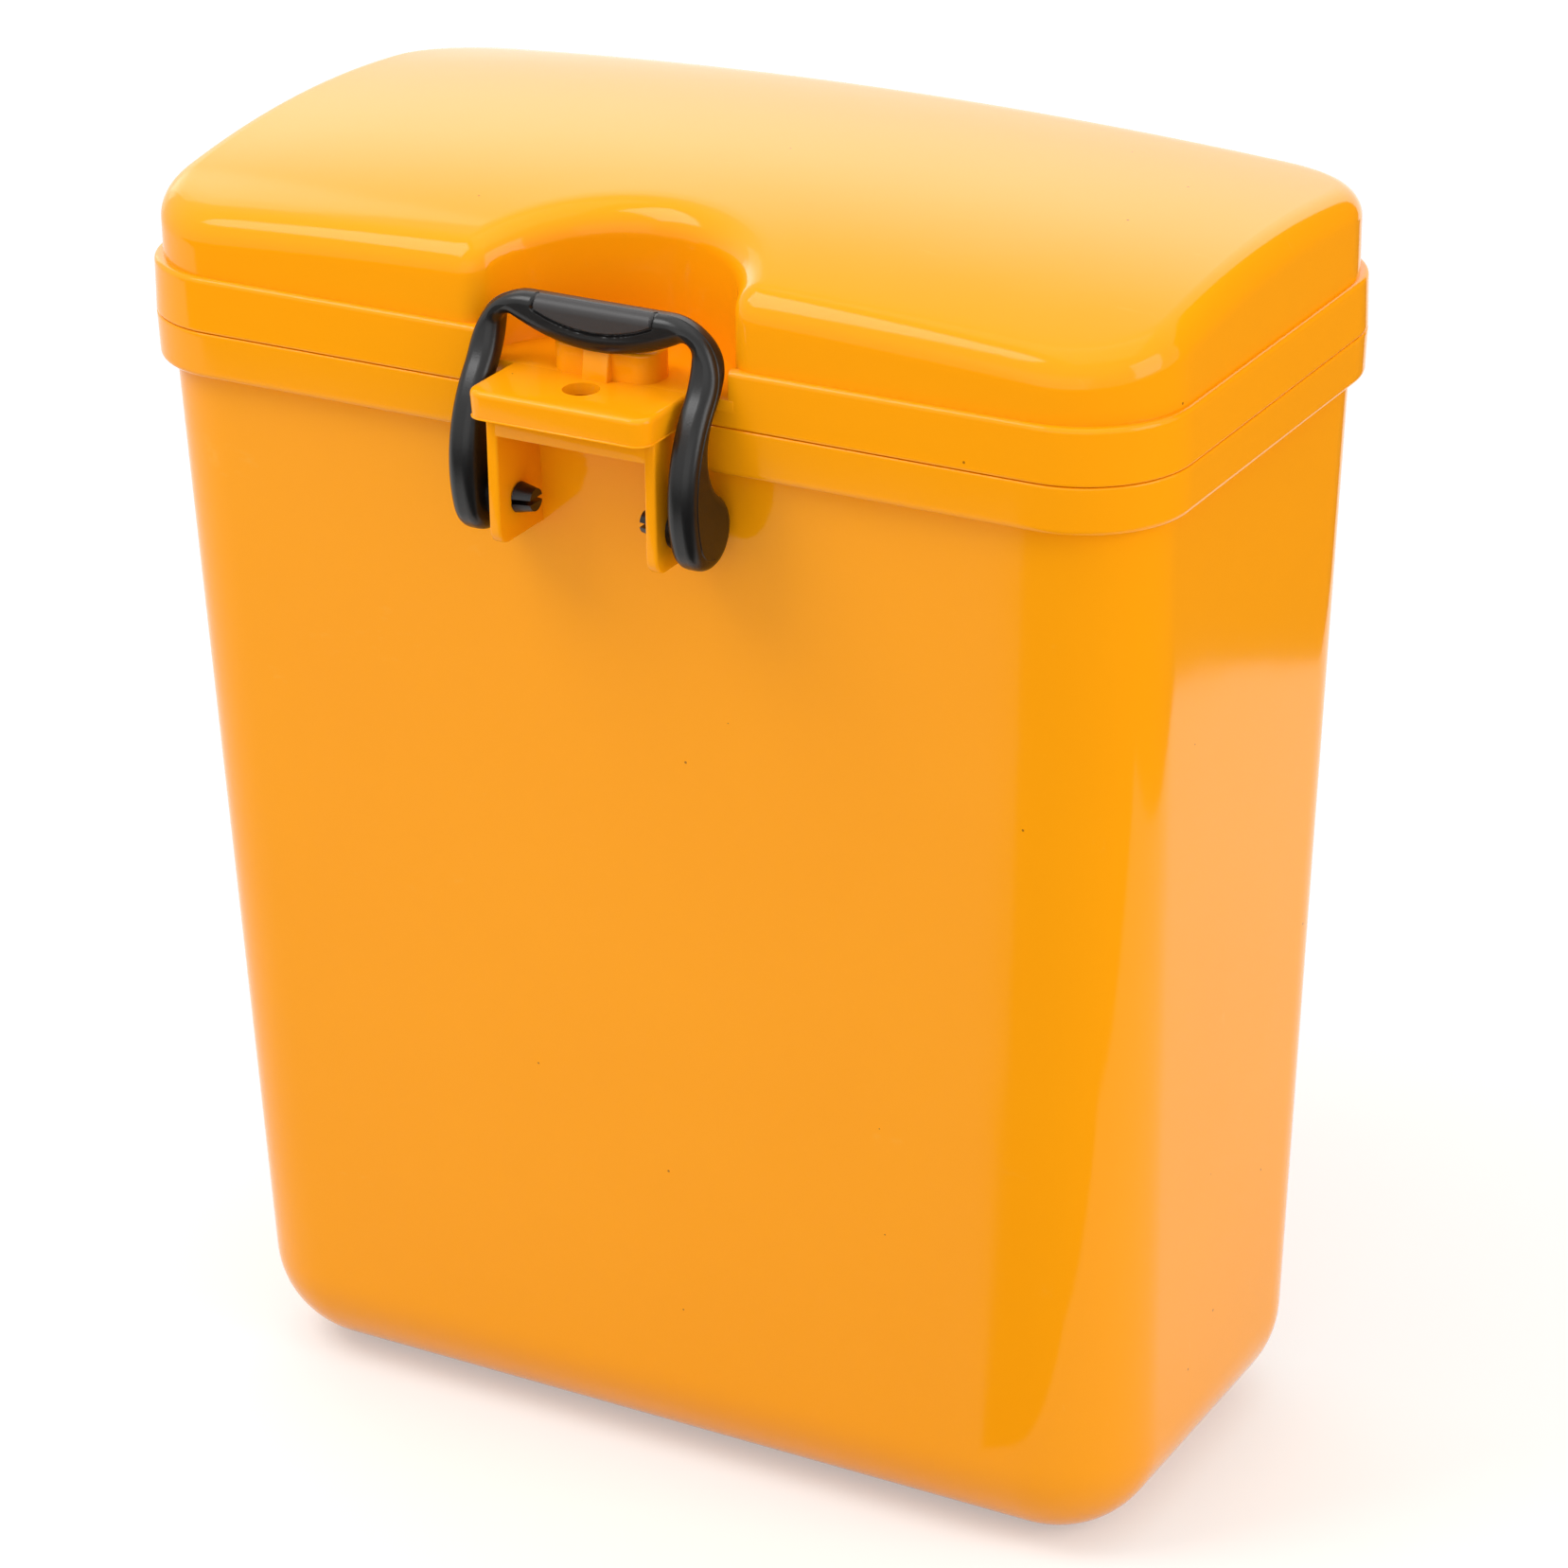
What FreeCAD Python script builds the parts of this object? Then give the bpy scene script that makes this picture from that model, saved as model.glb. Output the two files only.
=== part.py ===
import FreeCAD, Part
import math
import os
import Sketcher
from FreeCAD import Vector

# A moulded tool box that hangs by its back: a tapered body, a crowned lid on two
# pinned hinges, and a bail that swings over the lid's tongue to hold it shut.
# Millimetres, +Z up. The front faces -Y and the origin is the middle of the base.

SIZES = {
    # Body: a tapered tub with a proud band round its mouth
    "box_width": 280.0,
    "box_depth": 151.0,
    "rim_height": 296.5,
    "wall": 2.8,
    "body_band": 12.0,
    "band_step": 3.8,
    "band_corner": 27.0,
    "band_edge": 1.5,
    "side_taper": 6.7,
    "face_taper": 10.0,
    "base_round": 26.5,
    "base_corner_extra": 1.0,
    "lip_height": 3.0,
    "lip_gap": 0.5,
    # Back wall: two holes for the bolts of a saddle clamp
    "hang_height": 205.0,
    "hang_spacing": 75.0,
    "hang_bore": 8.5,
    # Lid: a band, a wall set in from it and a top crowned both ways
    "lid_band": 14.0,
    "lid_band_edge": 1.2,
    "lid_step": 1.8,
    "lid_corner": 27.0,
    "lid_wall": 2.6,
    "crown_rise": 29.7,
    "crown_back": 11.0,
    "crown_across": 1575.0,
    "crown_along": 338.0,
    "crown_sweep": 16.0,
    "lid_round": 5.0,
    "recess_ahead": 4.0,
    "recess_gap": 1.1,
    "recess_edge_extra": 0.3,
    # Tongue: a tray turned over, level with the floor of the recess
    "tongue_width": 49.0,
    "tongue_reach": 21.5,
    "tongue_height": 7.0,
    "tongue_plate": 3.0,
    "tongue_skirt": 2.4,
    "tongue_corner": 4.5,
    "tongue_edge": 1.2,
    "padlock_bore": 9.0,
    "padlock_ahead": 8.6,
    "boss_width": 28.0,
    "boss_depth": 12.0,
    "boss_ahead": 0.3,
    "boss_height": 7.4,
    "boss_corner": 5.0,
    "boss_edge": 0.9,
    "rib_width": 7.0,
    "rib_foot": 2.6,
    "rib_top": 1.2,
    # Bracket under the tongue: two cheeks and a web
    "latch_gap": 0.3,
    "cheek_inset": 1.5,
    "cheek_wall": 3.1,
    "cheek_margin": 8.6,
    "cheek_below": 10.0,
    "cheek_corner": 4.0,
    "web_plate": 3.0,
    "web_lip": 5.9,
    "web_lip_wall": 1.4,
    # Bail: a bar on two curved legs
    "pivot_ahead": 6.0,
    "pivot_drop": 24.2,
    "bail_side_gap": 1.6,
    "bail_leg": 7.5,
    "bail_gap": 0.4,
    "bar_ahead": 3.5,
    "bar_depth": 7.5,
    "bar_height": 10.8,
    "bar_sweep": 56.5,
    "bar_end_round": 2.5,
    "bail_bend": 14.9,
    "bail_edge": 1.8,
    "lobe_radius": 9.3,
    "leg_ahead": 1.2,
    "leg_bow": 38.0,
    "leg_sweep": 20.0,
    "neck_sweep": 14.0,
    "shoulder_sweep": 26.0,
    "shoulder_gap": 0.5,
    "pin_radius": 3.2,
    "pin_clearance": 0.08,
    "collar_radius": 5.2,
    "collar_gap": 0.3,
    "barb_radius": 3.8,
    "barb_tip_radius": 2.8,
    "barb_length": 3.2,
    "slot_width": 1.2,
    "slot_length": 6.0,
    "grip_width": 33.0,
    "grip_sweep": 38.0,
    "grip_margin": 3.7,
    "grip_groove": 0.9,
    "grip_depth": 0.7,
    # Hinges: two body ears round one lid knuckle, on a steel pin
    "hinge_spacing": 150.0,
    "hinge_behind": 5.3,
    "knuckle_radius": 4.7,
    "knuckle_width": 14.0,
    "ear_width": 7.0,
    "ear_drop": 11.0,
    "hinge_gap": 0.3,
    "hinge_pin": 4.0,
    "hinge_pin_clearance": 0.05,
    "pin_end": 0.4,
    "pin_chamfer": 0.5,
    # Cuts run past the surface by this much
    "overrun": 8.0,
}


class Size:
    """A length: its value now, and the sheet expression that keeps it current."""

    def __init__(self, value, text):
        self.value = value
        self.text = text

    def __add__(self, other):
        return Size(self.value + other.value, f"({self.text} + {other.text})")

    def __sub__(self, other):
        return Size(self.value - other.value, f"({self.text} - {other.text})")

    def __neg__(self):
        return Size(-self.value, f"(0 - {self.text})")

    def __mul__(self, other):
        value, text = pair(other)
        return Size(self.value * value, f"({self.text} * {text})")

    def __truediv__(self, other):
        value, text = pair(other)
        return Size(self.value / value, f"({self.text} / {text})")


def pair(other):
    """The value and the text of a Size or of a plain share."""
    if isinstance(other, Size):
        return other.value, other.text
    return other, str(other)


def root(length):
    """The square root of a Size."""
    return Size(math.sqrt(length.value), f"sqrt({length.text})")


class Corner:
    """A corner of an outline, and the run that leaves it.

    A bend makes the run an arc, to the left where it is positive. A smooth corner
    is tangent to the run before it, and one that isn't pinned is found by that.
    """

    def __init__(self, x, y, bend=None, smooth=False, pinned=True):
        self.x = x
        self.y = y
        self.bend = bend
        self.smooth = smooth
        self.pinned = pinned


class Sizes:
    """The spreadsheet's cells, each one a Size under its alias."""

    def __init__(self, document, values):
        sheet = document.addObject("Spreadsheet::Sheet", "Sizes")
        for row, (alias, value) in enumerate(values.items(), 1):
            sheet.set(f"A{row}", alias)
            sheet.set(f"B{row}", str(value))
            sheet.setAlias(f"B{row}", alias)
            setattr(self, alias, Size(value, f"Sizes.{alias}"))


doc = FreeCAD.newDocument("tool_box")
size = Sizes(doc, SIZES)
ZERO = Size(0.0, "0")
FULL_TURN = Size(360.0, "360")
# Places closer than this are the same place
NEAR = 1e-4
doc.recompute()

# Places that more than one piece is built on
half_width = size.box_width / 2
band_front = -(size.box_depth / 2)
band_back = size.box_depth / 2
lid_top = size.rim_height + size.lid_band
crown_top = lid_top + size.crown_rise
floor_level = size.rim_height + size.tongue_height
tongue_half = size.tongue_width / 2
cheek_outer = tongue_half - size.cheek_inset
cheek_inner = cheek_outer - size.cheek_wall
web_top = size.rim_height - size.latch_gap
pivot_y = band_front - size.pivot_ahead
pivot_z = size.rim_height - size.pivot_drop
bail_inner = tongue_half + size.bail_side_gap
bail_outer = bail_inner + size.bail_leg
bar_front = band_front - size.bar_ahead
bar_back = bar_front + size.bar_depth
bar_low = floor_level + size.boss_height + size.bail_gap
bar_top = bar_low + size.bar_height
padlock_y = band_front - size.padlock_ahead
hinge_y = band_back + size.hinge_behind
hinge_pin_radius = size.hinge_pin / 2
ear_start = size.knuckle_width / 2 + size.hinge_gap


def bind(item, name, length):
    """Ties a property of a document object to the sheet."""
    item.setExpression(name, length.text)


def new_body(label):
    """Adds an empty body under the name of its piece."""
    body = doc.addObject("PartDesign::Body", label)
    body.Label = label
    return body


def origin_part(body, role):
    """Finds one of a body's own origin planes or axes."""
    return next(part for part in body.Origin.OriginFeatures if part.Role == role)


def new_sketch(body, name, role, offset=ZERO):
    """Adds a sketch on an origin plane, moved along the plane's normal."""
    sketch = body.newObject("Sketcher::SketchObject", name)
    sketch.AttachmentSupport = [(origin_part(body, role), "")]
    sketch.MapMode = "FlatFace"
    bind(sketch, "AttachmentOffset.Base.z", offset)
    return sketch


def constrain(sketch, kind, *target, length=None):
    """Adds a constraint, tied to the sheet where it has a length."""
    if length is None:
        return sketch.addConstraint(Sketcher.Constraint(kind, *target))
    index = sketch.addConstraint(Sketcher.Constraint(kind, *target, length.value))
    bind(sketch, f"Constraints[{index}]", length)
    return index


def pin_point(sketch, edge, end, x, y):
    """Holds an end or a centre of an edge at a place in the sketch."""
    constrain(sketch, "DistanceX", -1, 1, edge, end, length=x)
    constrain(sketch, "DistanceY", -1, 1, edge, end, length=y)


def arc_between(start, end, radius):
    """An arc of under a half circle; a positive radius turns left on the way."""
    chord = end - start
    rise = math.sqrt(max(radius ** 2 - (chord.Length / 2) ** 2, 0.0))
    left = Vector(-chord.y, chord.x, 0).normalize()
    centre = (start + end) / 2 + left * math.copysign(rise, radius)
    circle = Part.Circle(centre, Vector(0, 0, 1), abs(radius))
    first, last = (start, end) if radius > 0 else (end, start)
    return Part.ArcOfCircle(circle, circle.parameter(first), circle.parameter(last))


def draw_outline(sketch, corners):
    """Draws a closed outline, tied to the sheet; a plain corner is just (x, y)."""
    corners = [corner if isinstance(corner, Corner) else Corner(*corner) for corner in corners]
    places = [Vector(corner.x.value, corner.y.value, 0) for corner in corners]
    runs = []
    for corner, start, end in zip(corners, places, places[1:] + places[:1]):
        if corner.bend is None:
            edge = sketch.addGeometry(Part.LineSegment(start, end), False)
            runs.append((edge, 1, 2))
            continue
        edge = sketch.addGeometry(arc_between(start, end, corner.bend.value), False)
        runs.append((edge, 1, 2) if corner.bend.value > 0 else (edge, 2, 1))
    for corner, run, before in zip(corners, runs, runs[-1:] + runs[:-1]):
        joint = "Tangent" if corner.smooth else "Coincident"
        constrain(sketch, joint, before[0], before[2], run[0], run[1])
        if corner.pinned:
            pin_point(sketch, run[0], run[1], corner.x, corner.y)
        if corner.bend is not None:
            radius = corner.bend if corner.bend.value > 0 else -corner.bend
            constrain(sketch, "Radius", run[0], length=radius)


def draw_circle(sketch, x, y, radius):
    """Draws a circle that is tied to the sheet."""
    circle = Part.Circle(Vector(x.value, y.value, 0), Vector(0, 0, 1), radius.value)
    edge = sketch.addGeometry(circle, False)
    pin_point(sketch, edge, 3, x, y)
    constrain(sketch, "Radius", edge, length=radius)


def draw_rounded(sketch, half_x, half_y, radius):
    """Draws a rectangle with round corners about the middle of the box."""
    run_x = half_x - radius
    run_y = half_y - radius
    draw_outline(sketch, [
        (-run_x, -half_y),
        (run_x, -half_y, radius),
        (half_x, -run_y),
        (half_x, run_y, radius),
        (run_x, half_y),
        (-run_x, half_y, radius),
        (-half_x, run_y),
        (-half_x, -run_y, radius),
    ])


def extrude(body, kind, sketch, length, reverse=False, both_ways=False):
    """Adds a Pad or a Pocket of a sketch."""
    feature = body.newObject(f"PartDesign::{kind}", f"{kind}_{sketch.Name}")
    feature.Profile = sketch
    bind(feature, "Length", length)
    feature.Reversed = reverse
    if both_ways:
        feature.SideType = "Symmetric"
    body.Tip = feature
    doc.recompute()
    return feature


def loft(body, kind, low, high):
    """Adds a straight-sided loft between two sketches."""
    feature = body.newObject(f"PartDesign::{kind}", f"{kind}_{low.Name}")
    feature.Profile = low
    feature.Sections = [high]
    feature.Ruled = True
    body.Tip = feature
    doc.recompute()
    return feature


def round_edges(body, radius, chosen):
    """Rounds the edges of the body that the test picks out."""
    base = body.Tip
    names = [f"Edge{i}" for i, edge in enumerate(base.Shape.Edges, 1) if chosen(edge)]
    feature = body.newObject("PartDesign::Fillet", f"Round_{base.Name}")
    feature.Base = (base, names)
    bind(feature, "Radius", radius)
    body.Tip = feature
    doc.recompute()
    return feature


def mirror_left(body, features):
    """Repeats features on the other side of the YZ plane."""
    feature = body.newObject("PartDesign::Mirrored", f"Mirror_{features[0].Name}")
    feature.Originals = features
    feature.MirrorPlane = (origin_part(body, "YZ_Plane"), [""])
    body.Tip = feature
    doc.recompute()
    return feature


def lies_at(edge, level):
    """True for an edge that lies level at a height."""
    box = edge.BoundBox
    return abs(box.ZMin - level.value) < NEAR and abs(box.ZMax - level.value) < NEAR


def on_outline(edge):
    """True for an edge that reaches the box's own width or depth."""
    box = edge.BoundBox
    deep = abs(max(-box.YMin, box.YMax) - band_back.value) < NEAR
    wide = abs(max(-box.XMin, box.XMax) - half_width.value) < NEAR
    return deep or wide


def is_sharp(shape, edge):
    """True for an edge whose two faces meet at an angle."""
    faces = shape.ancestorsOfType(edge, Part.Face)
    if len(faces) != 2:
        return False
    place = edge.valueAt((edge.FirstParameter + edge.LastParameter) / 2)
    first, second = [face.normalAt(*face.Surface.parameter(place)) for face in faces]
    return first.cross(second).Length > NEAR


def revolve(body, kind, sketch, angle):
    """Adds a Revolution or a Groove about a sketch's construction line."""
    feature = body.newObject(f"PartDesign::{kind}", f"{kind}_{sketch.Name}")
    feature.Profile = sketch
    feature.ReferenceAxis = (sketch, ["Axis0"])
    feature.Midplane = True
    bind(feature, "Angle", angle)
    body.Tip = feature
    doc.recompute()
    return feature


def draw_axis(sketch, low_x, high_x, y):
    """Draws a level construction line to turn a profile about."""
    line = Part.LineSegment(Vector(low_x.value, y.value, 0), Vector(high_x.value, y.value, 0))
    edge = sketch.addGeometry(line, True)
    pin_point(sketch, edge, 1, low_x, y)
    pin_point(sketch, edge, 2, high_x, y)


def build_body():
    """The tapered tub with its band, lip, latch bracket, hinge ears and bolt holes."""
    body = new_body("body_shell")
    base_half = half_width - size.band_step - size.side_taper
    base_back = band_back - size.band_step - size.face_taper
    top_half = half_width - size.band_step
    top_back = band_back - size.band_step
    base_corner = size.base_round + size.base_corner_extra
    top_corner = size.band_corner - size.band_step

    low = new_sketch(body, "base_outline", "XY_Plane")
    draw_rounded(low, base_half, base_back, base_corner)
    high = new_sketch(body, "rim_outline", "XY_Plane", size.rim_height)
    draw_rounded(high, top_half, top_back, top_corner)
    loft(body, "AdditiveLoft", low, high)

    band_low = size.rim_height - size.body_band
    band = new_sketch(body, "body_band", "XY_Plane", band_low)
    draw_rounded(band, half_width, band_back, size.band_corner)
    extrude(body, "Pad", band, size.body_band)
    round_edges(body, size.band_edge, lambda edge: lies_at(edge, band_low) and on_outline(edge))

    lip_inset = size.lid_step + size.lid_wall + size.lip_gap
    lip_corner = size.lid_corner - size.lid_wall - size.lip_gap
    lip = new_sketch(body, "rain_lip", "XY_Plane", size.rim_height)
    draw_rounded(lip, half_width - lip_inset, band_back - lip_inset, lip_corner)
    extrude(body, "Pad", lip, size.lip_height)

    wall = size.wall
    low = new_sketch(body, "cavity_floor", "XY_Plane", wall)
    draw_rounded(low, base_half - wall, base_back - wall, base_corner - wall)
    high = new_sketch(body, "cavity_mouth", "XY_Plane", size.rim_height + size.lip_height)
    draw_rounded(high, top_half - wall, top_back - wall, top_corner - wall)
    loft(body, "SubtractiveLoft", low, high)
    round_edges(body, size.base_round - wall, lambda edge: lies_at(edge, wall))
    round_edges(body, size.base_round, lambda edge: lies_at(edge, ZERO))

    add_bracket(body)
    add_lugs(body, "ear", -1)

    bolts = new_sketch(body, "hang_bolts", "XZ_Plane")
    for side in (-1, 1):
        draw_circle(bolts, size.hang_spacing * side / 2, size.hang_height, size.hang_bore / 2)
    extrude(body, "Pocket", bolts, size.box_depth)
    return body


def add_bracket(body):
    """The web and the two cheeks that stand out under the tongue."""
    front = pivot_y - size.cheek_margin
    low = pivot_z - size.cheek_below
    wall_middle = band_front + size.band_step + size.wall / 2
    lean = size.face_taper * (size.pivot_drop + size.cheek_below) / size.rim_height

    for name, back, depth in (
        ("latch_web", wall_middle, size.web_plate),
        ("latch_web_lip", front + size.web_lip_wall, size.web_lip),
    ):
        plate = new_sketch(body, name, "XY_Plane", web_top)
        draw_outline(plate, [
            (-cheek_outer, front),
            (cheek_outer, front),
            (cheek_outer, back),
            (-cheek_outer, back),
        ])
        extrude(body, "Pad", plate, depth, reverse=True)

    cheek = new_sketch(body, "latch_cheek", "YZ_Plane", cheek_inner)
    draw_outline(cheek, [
        (front, web_top),
        (front, low + size.cheek_corner, size.cheek_corner),
        (front + size.cheek_corner, low),
        (wall_middle + lean, low),
        (wall_middle, web_top),
    ])
    mirror_left(body, [extrude(body, "Pad", cheek, size.cheek_wall)])

    pivot = new_sketch(body, "pivot_bore", "YZ_Plane")
    draw_circle(pivot, pivot_y, pivot_z, size.pin_radius + size.pin_clearance)
    extrude(body, "Pocket", pivot, size.tongue_width, both_ways=True)
    padlock = new_sketch(body, "web_padlock_bore", "XY_Plane", size.rim_height)
    draw_circle(padlock, ZERO, padlock_y, size.padlock_bore / 2)
    extrude(body, "Pocket", padlock, size.web_lip)


def add_lugs(body, name, side):
    """Hinge lugs on the back: ears below the parting plane, or knuckles above it."""
    axis = size.rim_height
    radius = size.knuckle_radius
    root_y = band_back - size.wall / 2
    back = hinge_y + radius
    corners = [
        (root_y, axis),
        (hinge_y - radius, axis, radius * side),
        (hinge_y, axis - radius * side, radius * side),
        (back, axis),
        (back, axis + radius * side / 2),
        (root_y, axis + size.ear_drop * side),
    ]
    middle = size.hinge_spacing / 2
    pads = []
    if side > 0:
        sketch = new_sketch(body, name, "YZ_Plane", middle)
        draw_outline(sketch, corners)
        pads.append(extrude(body, "Pad", sketch, size.knuckle_width, both_ways=True))
    else:
        for place, start in (("outer", middle + ear_start), ("inner", middle - ear_start)):
            sketch = new_sketch(body, f"{name}_{place}", "YZ_Plane", start)
            draw_outline(sketch, corners)
            pads.append(extrude(body, "Pad", sketch, size.ear_width, reverse=place == "inner"))
    mirror_left(body, pads)
    bore = new_sketch(body, f"{name}_bore", "YZ_Plane")
    draw_circle(bore, hinge_y, axis, hinge_pin_radius + size.hinge_pin_clearance)
    extrude(body, "Pocket", bore, size.box_width, both_ways=True)


def add_dome(body, name, inset):
    """The lid's raised part: a crowned block with a scoop cut out of its front.

    The inset shrinks it on every side, which gives the core that hollows the lid.
    """
    half = half_width - size.lid_step - inset
    back = band_back - size.lid_step - inset
    block = new_sketch(body, f"{name}_outline", "XY_Plane", size.rim_height)
    draw_rounded(block, half, back, size.lid_corner - inset)
    extrude(body, "Pad", block, size.lid_band + size.crown_rise + size.overrun)
    cut_crown(body, f"{name}_crown", crown_top - inset)

    floor = floor_level if inset is ZERO else floor_level - size.tongue_plate
    scoop = new_sketch(body, f"{name}_scoop", "XY_Plane", crown_top + size.overrun)
    draw_circle(scoop, ZERO, band_front - size.recess_ahead, bail_outer + size.recess_gap + inset)
    extrude(body, "Pocket", scoop, crown_top + size.overrun - floor)

    upright = size.lid_round + size.recess_edge_extra - inset
    round_edges(body, upright, lambda edge: is_scoop_end(edge, -back))
    apex = Part.Vertex(Vector(0, size.crown_back.value, (crown_top - inset).value))
    crown = min(body.Tip.Shape.Faces, key=lambda face: face.distToShape(apex)[0])
    rims = crown.OuterWire.Edges
    round_edges(body, size.lid_round - inset, lambda edge: any(edge.isSame(rim) for rim in rims))


def is_scoop_end(edge, front):
    """True for an upright edge where the scoop runs out through the front wall."""
    box = edge.BoundBox
    flat = abs(box.YMin - front.value) < NEAR and abs(box.YMax - front.value) < NEAR
    upright = box.ZLength > NEAR and box.XLength < NEAR
    return flat and upright and abs(box.XMin) < (half_width - size.lid_corner).value / 2


def cut_crown(body, name, top):
    """Cuts a block's top to a crown that is round both along and across the box."""
    sketch = new_sketch(body, name, "YZ_Plane")
    reach = band_back + size.overrun
    above = top + half_width
    middle = top - size.crown_along
    along = size.crown_along
    to_back = reach - size.crown_back
    to_front = reach + size.crown_back
    draw_outline(sketch, [
        (reach, middle + root(along * along - to_back * to_back), along),
        (-reach, middle + root(along * along - to_front * to_front)),
        (-reach, above),
        (reach, above),
    ])
    draw_axis(sketch, -reach, reach, top - size.crown_across)
    revolve(body, "Groove", sketch, size.crown_sweep)


def build_lid():
    """The crowned lid with its band, scoop, tongue, boss, rib and hinge knuckles."""
    core = new_body("lid_core")
    add_dome(core, "core", size.lid_wall)

    body = new_body("lid_shell")
    band = new_sketch(body, "lid_band", "XY_Plane", size.rim_height)
    draw_rounded(band, half_width, band_back, size.band_corner)
    extrude(body, "Pad", band, size.lid_band)
    round_edges(body, size.lid_band_edge, lambda edge: lies_at(edge, lid_top) and on_outline(edge))
    add_dome(body, "dome", ZERO)

    hollow = body.newObject("PartDesign::Boolean", "hollow")
    hollow.Type = "Cut"
    hollow.addObjects([core])
    body.Tip = hollow
    doc.recompute()

    add_tongue(body)
    add_lugs(body, "knuckle", 1)
    return body


def add_tongue(body):
    """The tray-shaped tongue in front, with the boss and the rib that carry the bail."""
    front = band_front - size.tongue_reach
    corner = size.tongue_corner
    root_y = band_front + size.lid_step
    tongue = new_sketch(body, "tongue", "XY_Plane", size.rim_height)
    draw_outline(tongue, [
        (corner - tongue_half, front),
        (tongue_half - corner, front, corner),
        (tongue_half, front + corner),
        (tongue_half, root_y),
        (-tongue_half, root_y),
        (-tongue_half, front + corner, corner),
    ])
    extrude(body, "Pad", tongue, size.tongue_height)
    round_edges(body, size.tongue_edge, lambda edge: lies_at(edge, floor_level) and is_tongue_edge(edge))

    tray_half = tongue_half - size.tongue_skirt
    tray_front = front + size.tongue_skirt
    tray_corner = corner - size.tongue_skirt
    tray_back = band_front - size.tongue_skirt
    tray = new_sketch(body, "tongue_tray", "XY_Plane", size.rim_height)
    draw_outline(tray, [
        (tray_corner - tray_half, tray_front),
        (tray_half - tray_corner, tray_front, tray_corner),
        (tray_half, tray_front + tray_corner),
        (tray_half, tray_back),
        (-tray_half, tray_back),
        (-tray_half, tray_front + tray_corner, tray_corner),
    ])
    extrude(body, "Pocket", tray, size.tongue_height - size.tongue_plate, reverse=True)

    boss_front = band_front - size.boss_ahead
    boss_back = boss_front + size.boss_depth
    boss_half = size.boss_width / 2
    corner = size.boss_corner
    boss_top = floor_level + size.boss_height
    boss = new_sketch(body, "bail_boss", "XY_Plane", floor_level)
    draw_outline(boss, [
        (corner - boss_half, boss_front),
        (boss_half - corner, boss_front, corner),
        (boss_half, boss_front + corner),
        (boss_half, boss_back - corner, corner),
        (boss_half - corner, boss_back),
        (corner - boss_half, boss_back, corner),
        (-boss_half, boss_back - corner),
        (-boss_half, boss_front + corner, corner),
    ])
    extrude(body, "Pad", boss, size.boss_height)
    round_edges(body, size.boss_edge, lambda edge: lies_at(edge, boss_top))

    rib = new_sketch(body, "bail_rib", "YZ_Plane")
    draw_outline(rib, [
        (boss_front - size.rib_foot, floor_level),
        (boss_back - size.boss_corner, floor_level),
        (boss_back - size.boss_corner, boss_top),
        (boss_front - size.rib_top, boss_top),
    ])
    extrude(body, "Pad", rib, size.rib_width, both_ways=True)

    padlock = new_sketch(body, "tongue_padlock_bore", "XY_Plane", size.rim_height)
    draw_circle(padlock, ZERO, padlock_y, size.padlock_bore / 2)
    extrude(body, "Pocket", padlock, size.tongue_height + size.boss_height, reverse=True)


def is_tongue_edge(edge):
    """True for an edge of the tongue's own outline, ahead of the band."""
    box = edge.BoundBox
    return box.YMax < band_front.value + NEAR and box.YMin < band_front.value - NEAR


def build_bail():
    """The bail: a bar on two curved legs, with snap pins that turn in the cheeks."""
    body = new_body("latch_bail")
    add_bail_profile(body)
    add_bail_opening(body)
    high = bar_top.value - NEAR
    wide = bail_outer.value - NEAR
    round_edges(body, size.bail_bend, lambda edge: edge.BoundBox.ZMin > high and min_reach(edge) > wide)
    shape = body.Tip.Shape
    round_edges(body, size.bail_edge, lambda edge: is_sharp(shape, edge))
    add_grip(body)
    add_snap_pins(body)
    return body


def min_reach(edge):
    """How near an edge comes to the middle plane of the box."""
    box = edge.BoundBox
    if box.XMin < 0 < box.XMax:
        return 0.0
    return min(abs(box.XMin), abs(box.XMax))


def add_bail_profile(body):
    """The bail's side view: a round lobe, a bowed front up to the bar and a shoulder behind.

    The shoulder's arc passes the front edge of the recess floor with its own gap.
    """
    lobe = size.lobe_radius
    bow = size.leg_bow
    sweep = size.leg_sweep
    inside = bow - lobe
    level = inside - size.leg_ahead
    climb = root(size.leg_ahead * (inside * 2 - size.leg_ahead))
    front = pivot_y - lobe - size.leg_ahead
    bow_z = pivot_z + climb
    shift = bar_front - front
    reach = bow + sweep
    rise = root(shift * (reach * 2 - shift))
    shoulder = size.shoulder_sweep
    neck = size.neck_sweep
    clear = shoulder + size.shoulder_gap
    behind = band_front + shoulder - bar_back
    shoulder_z = floor_level + root(clear * clear - behind * behind)
    above, below = neck_ends(shoulder_z)
    profile = new_sketch(body, "bail_side", "YZ_Plane")
    draw_outline(profile, [
        Corner(pivot_y - level * lobe / inside, pivot_z - climb * lobe / inside, -bow),
        Corner(front + shift * bow / reach, bow_z + rise * bow / reach, sweep),
        Corner(bar_front, bow_z + rise),
        Corner(bar_front, bar_top),
        Corner(bar_back, bar_top),
        Corner(bar_back, shoulder_z, -shoulder, smooth=True),
        Corner(*above, neck, smooth=True, pinned=False),
        Corner(*below, -lobe, smooth=True, pinned=False),
        Corner(pivot_y, pivot_z - lobe, -lobe, smooth=True),
    ])
    extrude(body, "Pad", profile, bail_outer * 2, both_ways=True)


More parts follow.
